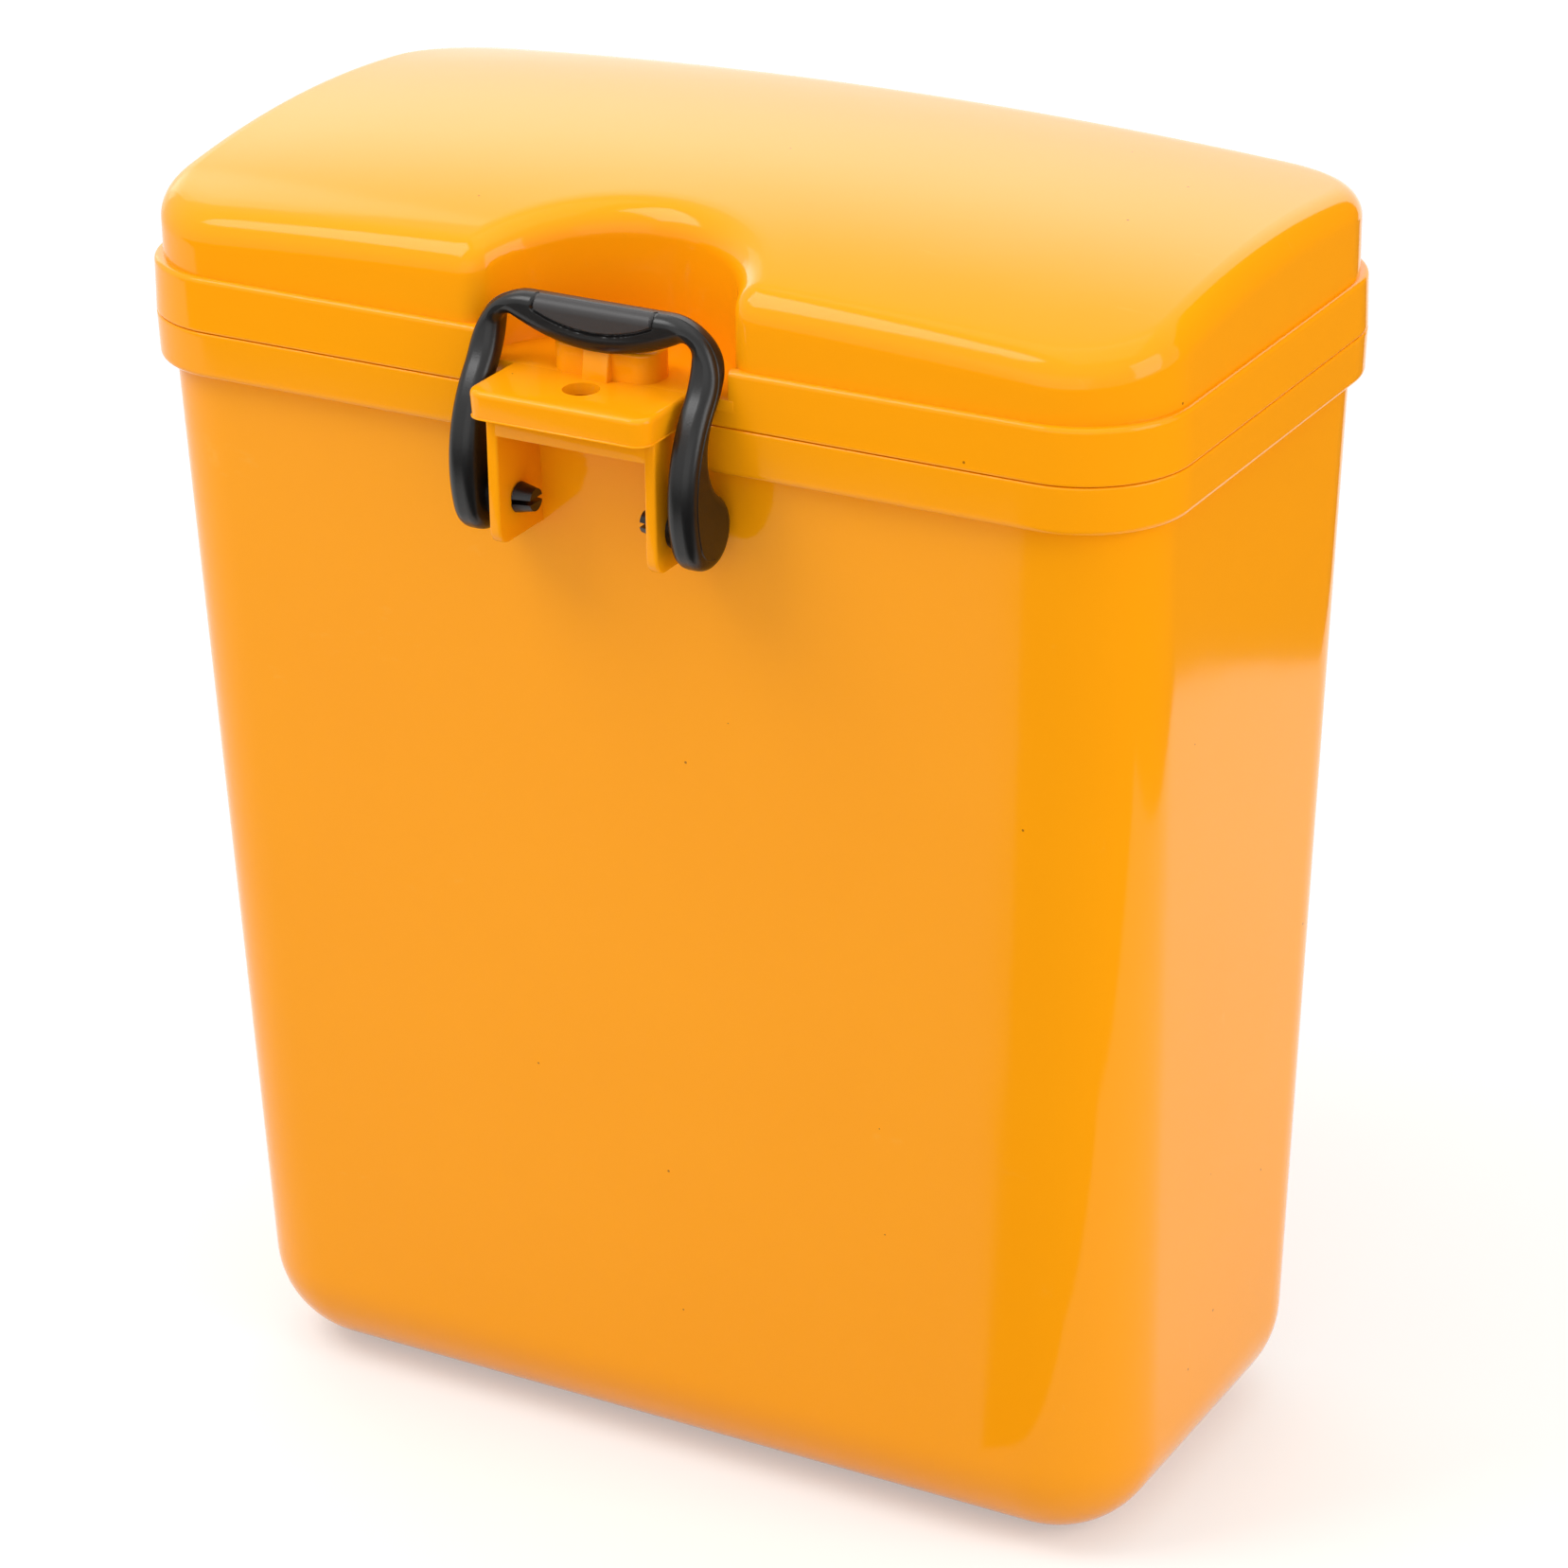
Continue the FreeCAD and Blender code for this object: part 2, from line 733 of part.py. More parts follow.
def neck_ends(shoulder_z):
    """Where the neck's arc starts on the shoulder and ends on the lobe."""
    lobe = Vector(pivot_y.value, pivot_z.value, 0)
    shoulder = Vector((bar_back - size.shoulder_sweep).value, shoulder_z.value, 0)
    reach = (size.lobe_radius + size.neck_sweep).value
    other = (size.shoulder_sweep + size.neck_sweep).value
    run = shoulder - lobe
    along = (reach ** 2 - other ** 2 + run.Length ** 2) / (2 * run.Length)
    aside = math.sqrt(reach ** 2 - along ** 2)
    run.normalize()
    middle = lobe + run * along + Vector(run.y, -run.x, 0) * aside
    ends = []
    for centre, radius in ((shoulder, size.shoulder_sweep), (lobe, size.lobe_radius)):
        place = centre + (middle - centre).normalize() * radius.value
        ends.append((Size(place.x, str(place.x)), Size(place.y, str(place.y))))
    return ends


def add_bail_opening(body):
    """The gap between the legs, closed above by the bar's bulging underside."""
    low = pivot_z - size.lobe_radius - size.overrun
    bulge = size.bar_sweep
    bend = size.bar_end_round
    reach = bulge + bend
    run = bail_inner - bend
    bulge_z = bar_low + bulge
    drop = root(reach * reach - run * run)
    leg_top = bulge_z - drop
    meet_x = run * bulge / reach
    meet_z = bulge_z - drop * bulge / reach
    opening = new_sketch(body, "bail_opening", "XZ_Plane", -pivot_y)
    draw_outline(opening, [
        (-bail_inner, low),
        (bail_inner, low),
        (bail_inner, leg_top, bend),
        (meet_x, meet_z, -bulge),
        (-meet_x, meet_z, bend),
        (-bail_inner, leg_top),
    ])
    extrude(body, "Pocket", opening, size.box_depth, both_ways=True)


def add_grip(body):
    """A pad in the bar's front, outlined by a groove that runs out over the bar's top."""
    half = size.grip_width / 2
    groove = size.grip_groove
    sweep = size.grip_sweep
    middle = bar_low + size.grip_margin + sweep
    top = bar_top + size.overrun
    inner_half = half - groove
    inner_sweep = sweep - groove
    end = middle - root(sweep * sweep - half * half)
    inner_end = middle - root(inner_sweep * inner_sweep - inner_half * inner_half)
    sketch = new_sketch(body, "grip_outline", "XZ_Plane", size.overrun - bar_front)
    draw_outline(sketch, [
        (-half, top),
        (-half, end, sweep),
        (half, end),
        (half, top),
        (inner_half, top),
        (inner_half, inner_end, -inner_sweep),
        (-inner_half, inner_end),
        (-inner_half, top),
    ])
    extrude(body, "Pocket", sketch, size.overrun + size.grip_depth)


def add_snap_pins(body):
    """Collars, pins and split barbs, turned as one profile on each leg's inside."""
    tip = cheek_inner - size.collar_gap - size.barb_length
    step = cheek_inner - size.collar_gap
    collar = cheek_outer + size.collar_gap
    leg = bail_inner + size.bail_leg / 2
    profile = new_sketch(body, "snap_pin", "XY_Plane", pivot_z)
    draw_outline(profile, [
        (tip, pivot_y),
        (tip, pivot_y - size.barb_tip_radius),
        (step, pivot_y - size.barb_radius),
        (step, pivot_y - size.pin_radius),
        (collar, pivot_y - size.pin_radius),
        (collar, pivot_y - size.collar_radius),
        (leg, pivot_y - size.collar_radius),
        (leg, pivot_y),
    ])
    draw_axis(profile, tip, leg, pivot_y)
    pin = revolve(body, "Revolution", profile, FULL_TURN)
    half_slot = size.slot_width / 2
    slot = new_sketch(body, "snap_slot", "XZ_Plane", -pivot_y)
    draw_outline(slot, [
        (tip - size.barb_length, pivot_z - half_slot),
        (tip + size.slot_length, pivot_z - half_slot),
        (tip + size.slot_length, pivot_z + half_slot),
        (tip - size.barb_length, pivot_z + half_slot),
    ])
    split = extrude(body, "Pocket", slot, size.collar_radius * 2, both_ways=True)
    mirror_left(body, [pin, split])


def build_pin(label, side):
    """A steel hinge pin with chamfered ends."""
    body = new_body(label)
    middle = size.hinge_spacing * side / 2
    length = (ear_start + size.ear_width + size.pin_end) * 2
    sketch = new_sketch(body, f"{label}_round", "YZ_Plane", middle)
    draw_circle(sketch, hinge_y, size.rim_height, hinge_pin_radius)
    shank = extrude(body, "Pad", sketch, length, both_ways=True)
    names = [f"Edge{i}" for i, edge in enumerate(shank.Shape.Edges, 1) if edge.Closed]
    ends = body.newObject("PartDesign::Chamfer", f"{label}_ends")
    ends.Base = (shank, names)
    bind(ends, "Size", size.pin_chamfer)
    body.Tip = ends
    doc.recompute()
    return body


def check(pieces):
    """Stops if any object failed or a piece is not one sound solid."""
    for item in doc.Objects:
        bad = [state for state in item.State if state in ("Invalid", "Error")]
        if bad:
            raise RuntimeError(f"{item.Name} is {bad}")
    for piece in pieces:
        shape = piece.Shape
        if shape.isNull() or not shape.isValid() or len(shape.Solids) != 1:
            raise RuntimeError(f"{piece.Label} is not one sound solid")


def main():
    """Builds every piece, checks it and writes its file."""
    pieces = [
        build_body(),
        build_lid(),
        build_bail(),
        build_pin("hinge_pin_left", -1),
        build_pin("hinge_pin_right", 1),
    ]
    doc.recompute()
    check(pieces)
    os.makedirs("parts", exist_ok=True)
    for piece in pieces:
        piece.Shape.exportStep(f"parts/{piece.Label}.step")
        box = piece.Shape.optimalBoundingBox(False, False)
        print(piece.Label, round(piece.Shape.Volume), box)


main()
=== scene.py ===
"""A moulded tool box: a tapered tub, a crowned lid on pinned hinges and a bail latch.

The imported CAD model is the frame. Each class below makes the finished surface of one
sub-assembly in metres, in the frame's own axes, and dresses it in its finish.
"""

import logging
import math
from dataclasses import dataclass, replace
from enum import Enum
from typing import Iterable, Sequence

import bmesh
import bpy
from bpy.types import ID, Material, Mesh, Node, NodeSocket, NodeTree, Object
from mathutils import Matrix, Vector


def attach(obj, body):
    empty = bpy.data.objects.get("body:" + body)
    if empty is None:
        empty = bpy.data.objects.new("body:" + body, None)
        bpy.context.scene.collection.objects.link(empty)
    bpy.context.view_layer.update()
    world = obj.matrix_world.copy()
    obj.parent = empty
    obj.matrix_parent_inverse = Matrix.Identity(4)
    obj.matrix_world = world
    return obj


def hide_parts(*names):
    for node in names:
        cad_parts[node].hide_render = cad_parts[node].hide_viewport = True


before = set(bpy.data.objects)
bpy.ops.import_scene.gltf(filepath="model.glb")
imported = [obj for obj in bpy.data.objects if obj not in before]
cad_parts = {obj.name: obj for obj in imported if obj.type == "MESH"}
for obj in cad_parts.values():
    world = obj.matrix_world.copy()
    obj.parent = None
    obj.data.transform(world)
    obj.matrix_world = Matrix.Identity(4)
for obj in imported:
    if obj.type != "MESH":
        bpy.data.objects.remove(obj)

LOG = logging.getLogger("tool_box")
PHOTO_PIXELS = 1657
SENSOR_MM = 36.0

# Sharper corners than this stay crisp in the shading
CRISP_ANGLE = math.radians(32.0)
# Points along a straight run, close to both ends so that the flat stays flat
RUN_SHARES = (0.02, 0.26, 0.5, 0.74, 0.98)
# Pieces that end inside another go this far into it
BURIED = 0.0005
# Two skins that would fall together are kept this far apart
SKIN_GAP = 0.00004
# Points closer than this are merged
SAME_POINT = 1e-7
# The pieces that a corner of the box, an edge, a very small edge, a bore and a pin are divided into
CORNER_STEPS = 16
EDGE_STEPS = 5
FINE_STEPS = 3
BORE_STEPS = 48
PIN_STEPS = 40

Point = tuple[float, float]
Profile = Sequence[Point]
Place = tuple[float, float, float]
Colour = tuple[float, float, float]
# A point of an outline with its outward normal
Edge = tuple[Vector, Vector]


class Plane(Enum):
    """The plane that a flat outline is drawn in; it is extruded along the third axis."""

    XY = (0, 1, 2)
    YZ = (1, 2, 0)
    XZ = (0, 2, 1)

    def place(self, first: float, second: float, along: float) -> Vector:
        """Puts a point of the outline into the frame.

        Args:
            first: the outline's first coordinate.
            second: its second coordinate.
            along: how far along the extrusion it lies.

        Returns:
            The point in the frame's axes.
        """
        point = Vector((0.0, 0.0, 0.0))
        for axis, value in zip(self.value, (first, second, along)):
            point[axis] = value
        return point


class Bulge(Enum):
    """Which way the normals of a round point: out of its centre or in towards it."""

    OUT = 1
    IN = -1


class Face(Enum):
    """The front and the rear of a side view, as directions along Y."""

    FRONT = -1
    REAR = 1


class Level(Enum):
    """The two sides of the parting plane, as directions along Z."""

    ABOVE = 1
    BELOW = -1


class Surface:
    """Gathers the points and faces of one piece."""

    def __init__(self) -> None:
        """Starts with no points and no faces."""
        self.points: list[Vector] = []
        self.faces: list[list[int]] = []

    def row(self, points: Iterable[Vector]) -> list[int]:
        """Adds a row of points.

        Args:
            points: the points, in order.

        Returns:
            The numbers that they got.
        """
        first = len(self.points)
        self.points.extend(points)
        return list(range(first, len(self.points)))

    def bridge(self, low: Sequence[int], high: Sequence[int], closed: bool = True) -> None:
        """Joins two rows of the same length with quads.

        Args:
            low: the first row, which runs to the right seen from outside.
            high: the row above it.
            closed: whether the last point joins the first.
        """
        count = len(low) if closed else len(low) - 1
        for index in range(count):
            after = (index + 1) % len(low)
            self.faces.append([low[index], low[after], high[after], high[index]])

    def stack(self, rows: Iterable[Iterable[Vector]], closed: bool = True) -> list[list[int]]:
        """Adds rows and joins each one to the next.

        Args:
            rows: the rows of points, in order.
            closed: whether each row is a ring.

        Returns:
            The numbers of each row's points.
        """
        numbers = [self.row(row) for row in rows]
        for low, high in zip(numbers, numbers[1:]):
            self.bridge(low, high, closed)
        return numbers

    def cap(self, row: Sequence[int], flip: bool = False) -> None:
        """Closes a ring with one flat face."""
        self.faces.append(list(reversed(row)) if flip else list(row))

    def mesh(self, name: str) -> Mesh:
        """Turns what was gathered into a mesh.

        Args:
            name: the mesh's name.

        Returns:
            The mesh, with its doubles merged.
        """
        mesh = bpy.data.meshes.new(name)
        mesh.from_pydata(self.points, [], self.faces)
        shape = bmesh.new()
        shape.from_mesh(mesh)
        bmesh.ops.remove_doubles(shape, verts=shape.verts, dist=SAME_POINT)
        shape.to_mesh(mesh)
        shape.free()
        return mesh


def stacked(rows: Iterable[Iterable[Vector]], name: str) -> Mesh:
    """Joins rings from the first to the last and closes both ends.

    Args:
        rows: the rings, anticlockwise seen from the last one's side.
        name: the mesh's name.

    Returns:
        A closed mesh.
    """
    surface = Surface()
    numbers = surface.stack(rows)
    surface.cap(numbers[0], flip=True)
    surface.cap(numbers[-1])
    return surface.mesh(name)


def rectangle(left: float, right: float, low: float, high: float) -> list[Point]:
    """The corners of a rectangle, anticlockwise."""
    return [(left, low), (right, low), (right, high), (left, high)]


def arc(centre: Point, radius: float, start: float, end: float, steps: int) -> list[Point]:
    """Points along an arc.

    Args:
        centre: the arc's centre.
        radius: its radius.
        start: the angle it starts at, in degrees.
        end: the angle it ends at.
        steps: how many pieces it is divided into.

    Returns:
        The points from start to end, both included.
    """
    points = []
    for step in range(steps + 1):
        angle = math.radians(start + (end - start) * step / steps)
        points.append((centre[0] + radius * math.cos(angle), centre[1] + radius * math.sin(angle)))
    return points


def bend(
    centre: Point, radius: float, start: float, end: float, steps: int, bulge: Bulge = Bulge.OUT
) -> list[Edge]:
    """Points along an arc with their normals.

    Args:
        centre: the arc's centre.
        radius: its radius.
        start: the angle it starts at, in degrees.
        end: the angle it ends at.
        steps: how many pieces it is divided into.
        bulge: which way its normals point.

    Returns:
        Pairs of a point and its normal, from start to end.
    """
    edges = []
    for x, y in arc(centre, radius, start, end, steps):
        normal = Vector((x - centre[0], y - centre[1])) / radius * bulge.value
        edges.append((Vector((x, y)), normal))
    return edges


def rounded_ring(
    half_x: float,
    half_y: float,
    corner: float,
    height: float,
    inset: float = 0.0,
    steps: int = CORNER_STEPS,
) -> list[Vector]:
    """A level ring in the shape of a rectangle with round corners.

    Args:
        half_x: half the rectangle's width.
        half_y: half its depth.
        corner: the radius of its corners.
        height: the height it lies at.
        inset: how far the ring is drawn in from it all round.
        steps: the pieces of each corner.

    Returns:
        Its points, anticlockwise seen from above, with the run along the front last.
    """
    radius = corner - inset
    corners = []
    for quarter, (side_x, side_y) in enumerate(((1, -1), (1, 1), (-1, 1), (-1, -1))):
        centre = (side_x * (half_x - inset - radius), side_y * (half_y - inset - radius))
        start = 90.0 * (quarter - 1)
        corners.append(arc(centre, radius, start, start + 90.0, steps))
    ring = []
    for bent, following in zip(corners, corners[1:] + corners[:1]):
        ring.extend(bent)
        (x0, y0), (x1, y1) = bent[-1], following[0]
        ring.extend((x0 + (x1 - x0) * share, y0 + (y1 - y0) * share) for share in RUN_SHARES)
    return [Vector((x, y, height)) for x, y in ring]


def quarter_round(radius: float, steps: int = EDGE_STEPS) -> list[Point]:
    """A quarter round from a wall to a flat.

    Args:
        radius: the radius of the edge.
        steps: the pieces it is divided into.

    Returns:
        Pairs of how far in from the wall and how far below the flat.
    """
    angles = [math.radians(90.0 * step / steps) for step in range(steps + 1)]
    return [(radius * (1.0 - math.cos(angle)), radius * (1.0 - math.sin(angle))) for angle in angles]


def prism(outline: Profile, plane: Plane, start: float, end: float, edge: float = 0.0) -> Mesh:
    """A flat outline given a thickness, with its sharp edges rounded.

    Args:
        outline: the corners of the outline.
        plane: the plane it is drawn in.
        start: where the thickness starts.
        end: where it ends.
        edge: the radius of the edges, or nothing to leave them sharp.

    Returns:
        A closed mesh.
    """
    shape = bmesh.new()
    rings = [[shape.verts.new(plane.place(a, b, along)) for a, b in outline] for along in (start, end)]
    shape.faces.new(rings[0])
    shape.faces.new(rings[1])
    for index in range(len(outline)):
        after = (index + 1) % len(outline)
        shape.faces.new((rings[0][index], rings[0][after], rings[1][after], rings[1][index]))
    bmesh.ops.recalc_face_normals(shape, faces=shape.faces)
    sharp = [line for line in shape.edges if line.calc_face_angle(0.0) > CRISP_ANGLE]
    bmesh.ops.bevel(
        shape, geom=sharp, offset=edge, segments=FINE_STEPS, profile=0.5, affect="EDGES", clamp_overlap=True
    )
    mesh = bpy.data.meshes.new("prism")
    shape.to_mesh(mesh)
    shape.free()
    return mesh


def rod(plane: Plane, centre: Point, radius: float, start: float, end: float) -> Mesh:
    """A plain round cutter along one axis."""
    return prism(arc(centre, radius, 0.0, 360.0, BORE_STEPS)[:-1], plane, start, end)


def turned(profile: Profile, centre: Point) -> Mesh:
    """A round piece on an axis along X.

    Args:
        profile: pairs of place along X and radius, towards +X.
        centre: where the axis crosses the YZ plane.

    Returns:
        A closed mesh.
    """
    rows = []
    for along, radius in profile:
        ring = arc(centre, radius, 0.0, 360.0, PIN_STEPS)[:-1]
        rows.append([Vector((along, y, z)) for y, z in ring])
    return stacked(rows, "turned")


def joined(meshes: Iterable[Mesh], name: str) -> Mesh:
    """Puts several meshes into one and removes the ones it came from.

    Args:
        meshes: the meshes to put together.
        name: the name of the new one.

    Returns:
        The mesh that holds them all.
    """
    shape = bmesh.new()
    for mesh in meshes:
        shape.from_mesh(mesh)
        bpy.data.meshes.remove(mesh)
    result = bpy.data.meshes.new(name)
    shape.to_mesh(result)
    shape.free()
    return result


def linked(name: str, data: ID) -> Object:
    """Makes an object of a mesh, lamp or camera and puts it into the scene.

    Args:
        name: the object's name.
        data: what it holds.

    Returns:
        The object, at the origin.
    """
    thing = bpy.data.objects.new(name, data)
    bpy.context.scene.collection.objects.link(thing)
    return thing


def settled(piece: Object) -> Mesh:
    """Reads a piece with its modifiers as a plain mesh and takes the modifiers off.

    Args:
        piece: the object to read.

    Returns:
        A new mesh.
    """
    graph = bpy.context.evaluated_depsgraph_get()
    mesh = bpy.data.meshes.new_from_object(piece.evaluated_get(graph))
    piece.modifiers.clear()
    return mesh


def bored(mesh: Mesh, cutters: Sequence[Mesh]) -> Mesh:
    """Cuts solid shapes out of a mesh.

    Args:
        mesh: the mesh to cut.
        cutters: closed meshes to take away from it.

    Returns:
        The mesh with the shapes cut out.
    """
    piece = linked("bored", mesh)
    tools = [linked("cutter", cutter) for cutter in cutters]
    for tool in tools:
        cut = piece.modifiers.new("cut", "BOOLEAN")
        cut.operation = "DIFFERENCE"
        cut.solver = "EXACT"
        cut.object = tool
    result = settled(piece)
    for used in (piece, *tools):
        bpy.data.objects.remove(used)
    for used in (mesh, *cutters):
        bpy.data.meshes.remove(used)
    return result


def place_piece(name: str, mesh: Mesh, body: str, node: str, *finishes: Material) -> Object:
    """Makes a finished piece that rides on a body and stands for a CAD node.

    Args:
        name: the piece's name.
        mesh: its mesh, already in place.
        body: the body that it moves with.
        node: the CAD node that it stands for.
        finishes: the materials it wears, the main one first.

    Returns:
        The piece's object.
    """
    mesh.name = name
    mesh.materials.clear()
    for finish in finishes:
        mesh.materials.append(finish)
    mesh.polygons.foreach_set("use_smooth", [True] * len(mesh.polygons))
    mesh.set_sharp_from_angle(angle=CRISP_ANGLE)
    piece = linked(name, mesh)
    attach(piece, body)
    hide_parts(node)
    LOG.info("%s: %d faces on %s", name, len(mesh.polygons), body)
    return piece


class Nodes:
    """Shortens the making and joining of nodes in one tree."""

    def __init__(self, tree: NodeTree) -> None:
        """Works on the given tree."""
        self.tree = tree

    def add(self, kind: str, **settings: object) -> Node:
        """Adds a node and sets its properties and its named inputs.

        Args:
            kind: the node's type name.
            settings: properties by name, or inputs by name with spaces as underscores.

        Returns:
            The new node.
        """
        node = self.tree.nodes.new(kind)
        for name, value in settings.items():
            if hasattr(node, name):
                setattr(node, name, value)
            else:
                node.inputs[name.replace("_", " ")].default_value = value
        return node

    def work(self, operation: str, second: float = 0.5) -> Node:
        """Adds a sum.

        Args:
            operation: what it works out.
            second: its second number, where no link gives it.

        Returns:
            The new node.
        """
        node = self.add("ShaderNodeMath", operation=operation)
        node.inputs[1].default_value = second
        return node

    def join(self, source: NodeSocket, target: NodeSocket) -> None:
        """Links an output to an input."""
        self.tree.links.new(source, target)

    def wire(self, *links: tuple[Node, str, Node, str | int]) -> None:
        """Links outputs to inputs by their names.

        Args:
            links: a node and its output, and the node and the input that they feed.
        """
        for source, output, target, entry in links:
            self.join(source.outputs[output], target.inputs[entry])


def bare_material(name: str) -> tuple[Material, Nodes, Node]:
    """Starts a material that has only its output.

    Args:
        name: the material's name.

    Returns:
        The material, its nodes and the output that takes the shader.
    """
    material = bpy.data.materials.new(name)
    material.use_nodes = True
    material.node_tree.nodes.clear()
    nodes = Nodes(material.node_tree)
    return material, nodes, nodes.add("ShaderNodeOutputMaterial")


@dataclass
class Effects:
    """The shader groups that more than one finish uses.

    Attributes:
        mottle_scale: how fine the mottle of the colour is.
        scuff_turn: how the scuffs are turned, in radians.
        scuff_stretch: how much they are drawn out along each axis.
        scuff_band: the noise at which a scuff starts and at which it is full.
        speck_scale: how close together specks may lie.
        speck_size: the radius of a speck, as a share of its cell.
    """

    mottle_scale: float = 9.0
    scuff_turn: Place = (0.5, 0.3, 0.7)
    scuff_stretch: Place = (1.0, 9.0, 2.0)
    scuff_band: Point = (0.66, 0.74)
    speck_scale: float = 60.0
    speck_size: float = 0.02

    def __post_init__(self) -> None:
        """Builds both groups."""
        self.skin = self._skin()
        self.marks = self._marks()

    @staticmethod
    def _group(name: str, inputs: dict[str, float], outputs: Sequence[str]) -> Nodes:
        """Starts a group with float sockets.

        Args:
            name: the group's name.
            inputs: the names of its inputs with their first values.
            outputs: the names of its outputs.

        Returns:
            The nodes of the new group.
        """
        tree = bpy.data.node_groups.new(name, "ShaderNodeTree")
        for label, value in inputs.items():
            socket = tree.interface.new_socket(label, in_out="INPUT", socket_type="NodeSocketFloat")
            socket.default_value = value
        for label in outputs:
            tree.interface.new_socket(label, in_out="OUTPUT", socket_type="NodeSocketFloat")
        return Nodes(tree)

    def _skin(self) -> NodeTree:
        """The skin of a moulding: a fine grain on a slow ripple, and a slow mottle of colour.

        Returns:
            The group.
        """
        sizes = {"Grain Scale": 900.0, "Grain Depth": 0.06, "Ripple Scale": 14.0}
        nodes = self._group("moulded_skin", sizes, ("Height", "Mottle"))
        entry = nodes.add("NodeGroupInput")
        leave = nodes.add("NodeGroupOutput")
        place = nodes.add("ShaderNodeTexCoord")
        grain = nodes.add("ShaderNodeTexNoise", Detail=3.0, Roughness=0.55)
        ripple = nodes.add("ShaderNodeTexNoise", Detail=1.0, Roughness=0.4)
        mottle = nodes.add("ShaderNodeTexNoise", Scale=self.mottle_scale, Detail=4.0, Roughness=0.6)
        fine = nodes.work("MULTIPLY")
        both = nodes.work("ADD")
        nodes.wire(
            (entry, "Grain Scale", grain, "Scale"),
            (entry, "Ripple Scale", ripple, "Scale"),
            *((place, "Object", texture, "Vector") for texture in (grain, ripple, mottle)),
            (grain, "Fac", fine, 0),
            (entry, "Grain Depth", fine, 1),
            (fine, "Value", both, 0),
            (ripple, "Fac", both, 1),
            (both, "Value", leave, "Height"),
            (mottle, "Fac", leave, "Mottle"),
        )
        return nodes.tree

    def _marks(self) -> NodeTree:
        """Marks of handling: thin scattered scuffs and a few specks.

        Returns:
            The group.
        """
        nodes = self._group("handling_marks", {"Scuff Scale": 22.0, "Amount": 0.5}, ("Scuffs", "Specks"))
        entry = nodes.add("NodeGroupInput")
        leave = nodes.add("NodeGroupOutput")
        place = nodes.add("ShaderNodeTexCoord")
        stretch = nodes.add("ShaderNodeMapping", Rotation=self.scuff_turn, Scale=self.scuff_stretch)
        streak = nodes.add("ShaderNodeTexNoise", Detail=5.0, Roughness=0.75)
        thin = nodes.add("ShaderNodeValToRGB")
        for stop, position in zip(thin.color_ramp.elements, self.scuff_band):
            stop.position = position
        weigh = nodes.work("MULTIPLY")
        speck = nodes.add("ShaderNodeTexVoronoi", Scale=self.speck_scale)
        dot = nodes.work("LESS_THAN", self.speck_size)
        nodes.wire(
            (place, "Object", stretch, "Vector"),
            (stretch, "Vector", streak, "Vector"),
            (entry, "Scuff Scale", streak, "Scale"),
            (streak, "Fac", thin, "Fac"),
            (thin, "Color", weigh, 0),
            (entry, "Amount", weigh, 1),
            (place, "Object", speck, "Vector"),
            (speck, "Distance", dot, 0),
            (weigh, "Value", leave, "Scuffs"),
            (dot, "Value", leave, "Specks"),
        )
        return nodes.tree


@dataclass(frozen=True)
class Finish:
    """How one moulded or drawn surface looks.

    Attributes:
        name: the material's name.
        colour: its main colour.
        depth_colour: the colour that it mottles towards.
        mark_colour: the colour of scuffs.
        speck_colour: the colour of specks.
        smooth: the roughness where it is untouched.
        scuffed: the roughness of scuffs.
        ior: its index of refraction.
        metal: one for bare metal.
        grain_scale: how fine its grain is.
        grain_depth: how deep its grain is, as a share of the ripple.
        ripple_scale: how fine its slow ripple is.
        bump: how deep grain and ripple are, in metres.
        scuff_amount: how many scuffs show.
    """

    name: str
    colour: Colour
    depth_colour: Colour
    mark_colour: Colour
    speck_colour: Colour
    smooth: float
    scuffed: float
    ior: float = 1.45
    metal: float = 0.0
    grain_scale: float = 900.0
    grain_depth: float = 0.06
    ripple_scale: float = 14.0
    bump: float = 0.0002
    scuff_amount: float = 0.4

    def material(self, effects: Effects) -> Material:
        """Builds the material.

        Args:
            effects: the shared shader groups.

        Returns:
            A material that reads Object coordinates.
        """
        material, nodes, leave = bare_material(self.name)
        shader = nodes.add("ShaderNodeBsdfPrincipled", IOR=self.ior, Metallic=self.metal)
        skin = nodes.add(
            "ShaderNodeGroup",
            node_tree=effects.skin,
            Grain_Scale=self.grain_scale,
            Grain_Depth=self.grain_depth,
            Ripple_Scale=self.ripple_scale,
        )
        marks = nodes.add("ShaderNodeGroup", node_tree=effects.marks, Amount=self.scuff_amount)
        rough = nodes.add("ShaderNodeMapRange", To_Min=self.smooth, To_Max=self.scuffed)
        bump = nodes.add("ShaderNodeBump", Strength=1.0, Distance=self.bump)
        layers = (
            (skin.outputs["Mottle"], self.depth_colour),
            (marks.outputs["Scuffs"], self.mark_colour),
            (marks.outputs["Specks"], self.speck_colour),
        )
        colour: NodeSocket | None = None
        for mask, layer in layers:
            mix = nodes.add("ShaderNodeMix", data_type="RGBA")
            under, over = (socket for socket in mix.inputs if socket.type == "RGBA")
            under.default_value = (*self.colour, 1.0)
            over.default_value = (*layer, 1.0)
            if colour:
                nodes.join(colour, under)
            nodes.join(mask, mix.inputs["Factor"])
            colour = next(socket for socket in mix.outputs if socket.type == "RGBA")
        nodes.join(colour, shader.inputs["Base Color"])
        nodes.wire(
            (marks, "Scuffs", rough, "Value"),
            (rough, "Result", shader, "Roughness"),
            (skin, "Height", bump, "Height"),
            (bump, "Normal", shader, "Normal"),
            (shader, "BSDF", leave, "Surface"),
        )
        return material


